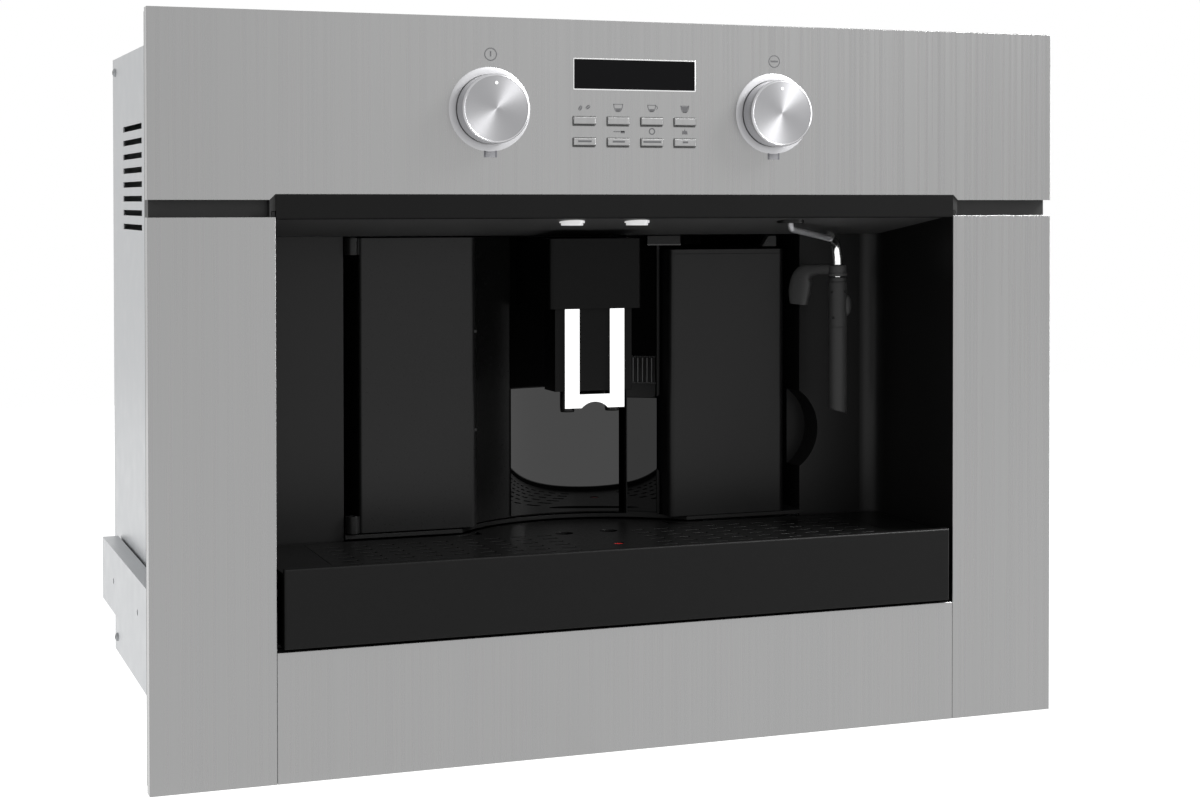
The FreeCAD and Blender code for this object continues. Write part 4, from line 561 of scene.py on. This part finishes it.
# painted highlight: a lighter grey strip along the catch's lower edge, for the edge catching light
catch_lip = plate(box_outline(50, 74.5, 310.2, 311.2, 0.2, 2), front + 2.4, front + 9, "y", 0.15)
guide = rounded([(134.5, 308.9), (145.5, 308.9), (145.5, 316.4), (139.5, 316.4)], 0.6, 4)
solid("tank_catch", [catch], "machine", black_satin)
solid("tank_catch_highlight_lip", [catch_lip], "machine", finish("catch_edge_painted_highlight", "3C3C3C", 0.0, 0.4))
solid("tank_guide", [plate(guide, front + 2, front + 8, "y", 0.4)], "machine", frame_grey)

# ---- steam wand: a bent tube from the ball socket, satin up to its elbow and bright below ----
# The thumb grip is moulded round the tube. The frother sleeve is pushed on from below and pulls off.


def round_section(radius, steps=24):
    """A circle as a flat section."""
    angle = np.arange(steps) * 2 * math.pi / steps
    return np.stack([radius * np.cos(angle), radius * np.sin(angle)], 1)


axis_x, axis_y = 174.9, 53.0  # the tube's upright part
wand_steel = finish("satin_steel_tube", "9A9A9C", 0.5, 0.35)
stub_path = rounded([(119.5, 8, 337), (119.5, 8, 322), (167.5, 47.0, 314.6)], (0, 4, 0), 8, closed=False)
solid("wand_stub_tube", [swept(stub_path, round_section(2.1), (1, 0, 0.01))], "wand", wand_steel)
bend = rounded([(165.2, 45.1, 316.2), (172.6, 51.1, 311.6), (axis_x, axis_y, 301), (axis_x, axis_y, 296.9)],
               (0, 5, 5, 0), 8, closed=False)
bend = np.vstack([bend, [(axis_x, axis_y, 296.4), (axis_x, axis_y, 240.2)]])
thick = np.ones((len(bend), 2))
thick[-2:] = 0.88  # thinner where the sleeve goes on
bright_steel = finish("bright_steel_elbow", "FAFAFA", 1.0, 0.22)
tube = swept(bend, round_section(3.75), (1, -1.2, 0), thick)
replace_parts(solid("wand_elbow_tube", [tube], "wand", bright_steel), "steam_wand")

rubber = finish("grip_soft_plastic", "3A3A3A", 0.0, 0.55, Specular_IOR_Level=0.25)
grained(rubber, (1200, 1200, 1200), 0.08, 0.00002, 0.04)
lean = np.array([-0.569, 0.822])  # the way the grip points, in plan
reach = rounded([(2, 293.6), (14, 293.6), (26.5, 292.0), (30.2, 281), (31.0, 269.0)], (3, 6, 10, 8, 0), 8,
                closed=False)  # out from the tube and down
hook = np.stack([axis_x + lean[0] * reach[:, 0], axis_y + lean[1] * reach[:, 0], reach[:, 1]], 1)
run = np.concatenate([[0], np.cumsum(np.linalg.norm(np.diff(reach, axis=0), axis=1))])
run = np.clip((run / run[-1] - 0.3) / 0.4, 0, 1)  # 0 on the arm, 1 on the thumb blade
half_height = 3.75 + 4.6 * run * run * (3 - 2 * run)
half_width = 4.2 - 0.6 * run
sizes = np.stack([half_width, half_height], 1)
sizes[-2] *= 0.95
sizes[-1] *= 0.8
circle = round_section(1, 28)
oval = np.sign(circle) * np.abs(circle) ** 0.7
grip = solid("thumb_grip", [swept(hook, oval, (0, 0, 1), sizes)], "wand", rubber)
collar = [(3.45, 289.0), (6.0, 289.0), (6.5, 289.4), (6.5, 291.0), (6.0, 291.3), (6.0, 295.6), (5.6, 296.4),
          (3.45, 296.4), (3.45, 289.0)]
solid("thumb_grip_collar", [turned(collar, axis_x, axis_y, "z", 64)], "wand", rubber)
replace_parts(grip, "wand_grip")

sleeve_plastic = finish("sleeve_soft_plastic", "2E2E2E", 0.0, 0.55, Specular_IOR_Level=0.25)
grained(sleeve_plastic, (1200, 1200, 1200), 0.08, 0.00002, 0.04)
profile = [(3.5, 288.2), (5.4, 288.4), (6.0, 287.8), (6.0, 285.4), (6.5, 284.8), (6.6, 283), (6.5, 255.2)]
profile += [(6.3, 254.9), (6.3, 254.4), (6.5, 254.1), (6.5, 199), (5.6, 199), (5.4, 203), (3.5, 206)]
sleeve_grid = turned(profile + profile[:1], axis_x, axis_y, "z", 72)
slant = np.clip((215 - sleeve_grid[..., 2]) / 16, 0, 1)  # the lower end is cut at a slant
sleeve_grid[..., 2] -= slant * (sleeve_grid[..., 0] - axis_x) * 0.32 + slant * 2.4
sleeve_grid[..., 2] = np.maximum(sleeve_grid[..., 2], 194.2)
sleeve = solid("frother_sleeve_body", [sleeve_grid], "sleeve", sleeve_plastic)
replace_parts(sleeve, "frother_sleeve")
outwards, across = np.array([-0.37, -0.93]), np.array([0.93, -0.37])  # in plan, square to each other
ball = [(0, 1), (0.7, 0.7), (1, 0), (0.7, -0.7), (0, -1)]
holes = []
for shift, level in ((-3.9, 278.2), (4.8, 278.5), (-3.2, 260.6)):
    x, y = np.array([axis_x, axis_y]) + across * shift + outwards * math.sqrt(6.5**2 - shift**2)
    holes.append(turned([(r, level + h) for r, h in ball], x, y, "z", 14))
solid("frother_air_holes", holes, "sleeve", finish("air_hole_shadow", "050505", 0.0, 0.9))
lug = np.array([axis_x, axis_y]) + across * 6.2
bump = [(0, 276.4), (1.6, 275.6), (3.0, 273.2), (3.4, 269), (3.0, 264.8), (1.6, 262.4), (0, 261.6)]
solid("frother_lug", [turned(bump, *lug, "z", 32)], "sleeve", sleeve_plastic)

# ---- housing: zinc-plated covers with vents round the works, screwed together; the hopper opens on top ----
# The brewing unit, grinder, pump, grounds container and hopper are black mouldings, the boiler is cast, and
# the steam tap is brass.

screw_steel = finish("screw_steel", "8C8E90", 1.0, 0.3)


def screws(name, places, face, axis, out, body, radius=3.2):
    """A group of cross-recessed pan heads: low domes with a flat rim, and their crosses as a group of black
    bars on the domes, painted shade for the recesses.
    """
    dome = [(0, face + out * 1.9), (radius * 0.5, face + out * 1.8), (radius * 0.85, face + out * 1.3)]
    dome += [(radius, face + out * 0.5), (radius, face), (0, face)]
    arm, half = radius * 0.5, 0.35
    heads, crosses = [], []
    for u, v in places:
        heads.append(turned(dome, u, v, axis, 24))
        for du, dv, rise in ((arm, half, 1.92), (half, arm, 1.93)):
            bar = box_outline(u - du, u + du, v - dv, v + dv, 0.1, 2)
            crosses.append(plate(bar, *sorted((face, face + out * rise)), axis, 0.02))
    solid(name, heads, body, screw_steel)
    # painted shade: the black crosses stand in for the shaded cross recesses
    solid(name + "_recess_painted_shade", crosses, body, black_satin)


wear(zinc, "base_plate", "side_covers", "rear_cover", "top_cover")
side_x, edge_x, rows_y, rows_z = 267.3, 255, (16, 200, 376), (14, 436)
rear_places = [(x, z) for x in (-edge_x, 0, edge_x) for z in (14, 225, 436)]
side_places = [(y, z) for y in rows_y for z in rows_z]
screws("rear_cover_screws", rear_places, 389.55, "y", 1, "machine")
screws("top_cover_screws", [(x, y) for x in (-edge_x, edge_x) for y in rows_y], 446, "z", 1, "machine")
screws("left_cover_screws", side_places, -side_x, "x", -1, "machine")
screws("right_cover_screws", side_places, side_x, "x", 1, "machine")
wear(black_satin, "bean_hopper", "hopper_lid", "grinder", "grind_adjuster", "pump", "brewing_unit")
wear(black_satin, "grounds_container", "mains_inlet", "main_switch")
wear(grained(finish("cast_boiler_aluminium", "A9AAAC", 1.0, 0.5), (300, 300, 300), 0.08, 0.00003), "boiler")
wear(finish("tap_brass", "B58A3C", 1.0, 0.3), "steam_tap")

# ---- studio: pale floor, even white room with a darker ground, key lamp and weak softbox at the right ----
# What shiny pieces see of the room is a white screen, a little brighter where the fascia's middle mirrors it,
# so that the steel is lightest there. The viewer sees plain white paper.

world = bpy.data.worlds.new("studio")
bpy.context.scene.world = world
world.use_nodes = True
tree = world.node_tree
tree.nodes.clear()
white = linear("FFFFFF")
way = add(tree, "ShaderNodeTexCoord", {}).outputs["Generated"]
parts = add(tree, "ShaderNodeSeparateXYZ", {0: way})
rise = add(tree, "ShaderNodeMapRange", {"Value": parts.outputs["Z"], "From Min": -0.35, "From Max": 0.05,
                                        "To Min": 0.3, "To Max": 1.0})
room = add(tree, "ShaderNodeBackground", {"Color": white, "Strength": rise.outputs[0]})
towards = add(tree, "ShaderNodeMath", {0: parts.outputs["Y"], 1: -1.0}, operation="MULTIPLY")
bearing = add(tree, "ShaderNodeMath", {0: parts.outputs["X"], 1: towards.outputs[0]}, operation="ARCTAN2")
aside = add(tree, "ShaderNodeMath", {0: bearing.outputs[0], 1: math.radians(17)}, operation="SUBTRACT")
aside = add(tree, "ShaderNodeMath", {0: aside.outputs[0]}, operation="ABSOLUTE")
wash = add(tree, "ShaderNodeMapRange", {"Value": aside.outputs[0], "From Min": math.radians(4),
                                        "From Max": math.radians(17), "To Min": 1.32, "To Max": 1.0},
           interpolation_type="SMOOTHSTEP")
screen = add(tree, "ShaderNodeBackground", {"Color": white, "Strength": wash.outputs[0]})
paper = add(tree, "ShaderNodeBackground", {"Color": white, "Strength": 1.0})
seen = add(tree, "ShaderNodeLightPath", {})
mixed = add(tree, "ShaderNodeMixShader",
            {0: seen.outputs["Is Glossy Ray"], 1: room.outputs[0], 2: screen.outputs[0]})
direct = add(tree, "ShaderNodeMath",
             {0: seen.outputs["Is Camera Ray"], 1: seen.outputs["Is Transmission Ray"]}, operation="MAXIMUM")
mixed = add(tree, "ShaderNodeMixShader", {0: direct.outputs[0], 1: mixed.outputs[0], 2: paper.outputs[0]})
add(tree, "ShaderNodeOutputWorld", {"Surface": mixed.outputs[0]})

half = 2.5
floor_z = cad_low.z - 0.002
floor_mesh = bpy.data.meshes.new("floor")
corners = [(-half, -half, floor_z), (half, -half, floor_z), (half, half, floor_z), (-half, half, floor_z)]
floor_mesh.from_pydata(corners, [], [(0, 1, 2, 3)])
floor = bpy.data.objects.new("floor", floor_mesh)
bpy.context.scene.collection.objects.link(floor)
floor_paint = finish("pale_floor", "B8B8B8", 0.0, 0.9)
tree = floor_paint.node_tree
seen = add(tree, "ShaderNodeLightPath", {})
glow = add(tree, "ShaderNodeEmission", {"Color": white, "Strength": 1.3})
direct = add(tree, "ShaderNodeMath", {0: seen.outputs["Is Camera Ray"], 1: seen.outputs["Is Glossy Ray"]},
             operation="MAXIMUM")
mixed = add(tree, "ShaderNodeMixShader", {0: direct.outputs[0], 1: tree.nodes["Principled BSDF"].outputs[0],
                                          2: glow.outputs[0]})
tree.links.new(mixed.outputs[0], tree.nodes["Material Output"].inputs["Surface"])
floor_mesh.materials.append(floor_paint)


def lamp(name, spot, aim, size, watts):
    """A soft area light at a spot, aimed at a point, both in metres."""
    light = bpy.data.lights.new(name, "AREA")
    light.size = size
    light.energy = watts
    made = bpy.data.objects.new(name, light)
    made.location = spot
    made.rotation_mode = "QUATERNION"
    made.rotation_quaternion = (Vector(aim) - Vector(spot)).to_track_quat("-Z", "Y")
    bpy.context.scene.collection.objects.link(made)


lamp("key", (1.224, -0.659, 1.393), (0, -0.03, 0.39), 0.6, 66)
lamp("side_softbox", (1.9, -0.25, 0.5), (0, -0.03, 0.38), 0.8, 18)

camera = bpy.data.cameras.new("camera")
camera.sensor_width = 36
camera.lens = 65.81
camera.shift_x = -0.0833
camera.shift_y = -0.1333
camera.clip_end = 20
eye = bpy.data.objects.new("camera", camera)
yaw, pitch = 0.37959, -0.01763
eye.location = (-0.46909, -1.30706, 0.34013)
ahead = Vector((math.sin(yaw) * math.cos(pitch), math.cos(yaw) * math.cos(pitch), math.sin(pitch)))
eye.rotation_mode = "QUATERNION"
eye.rotation_quaternion = ahead.to_track_quat("-Z", "Y")
bpy.context.scene.collection.objects.link(eye)
bpy.context.scene.camera = eye
bpy.context.scene.view_settings.view_transform = "Standard"
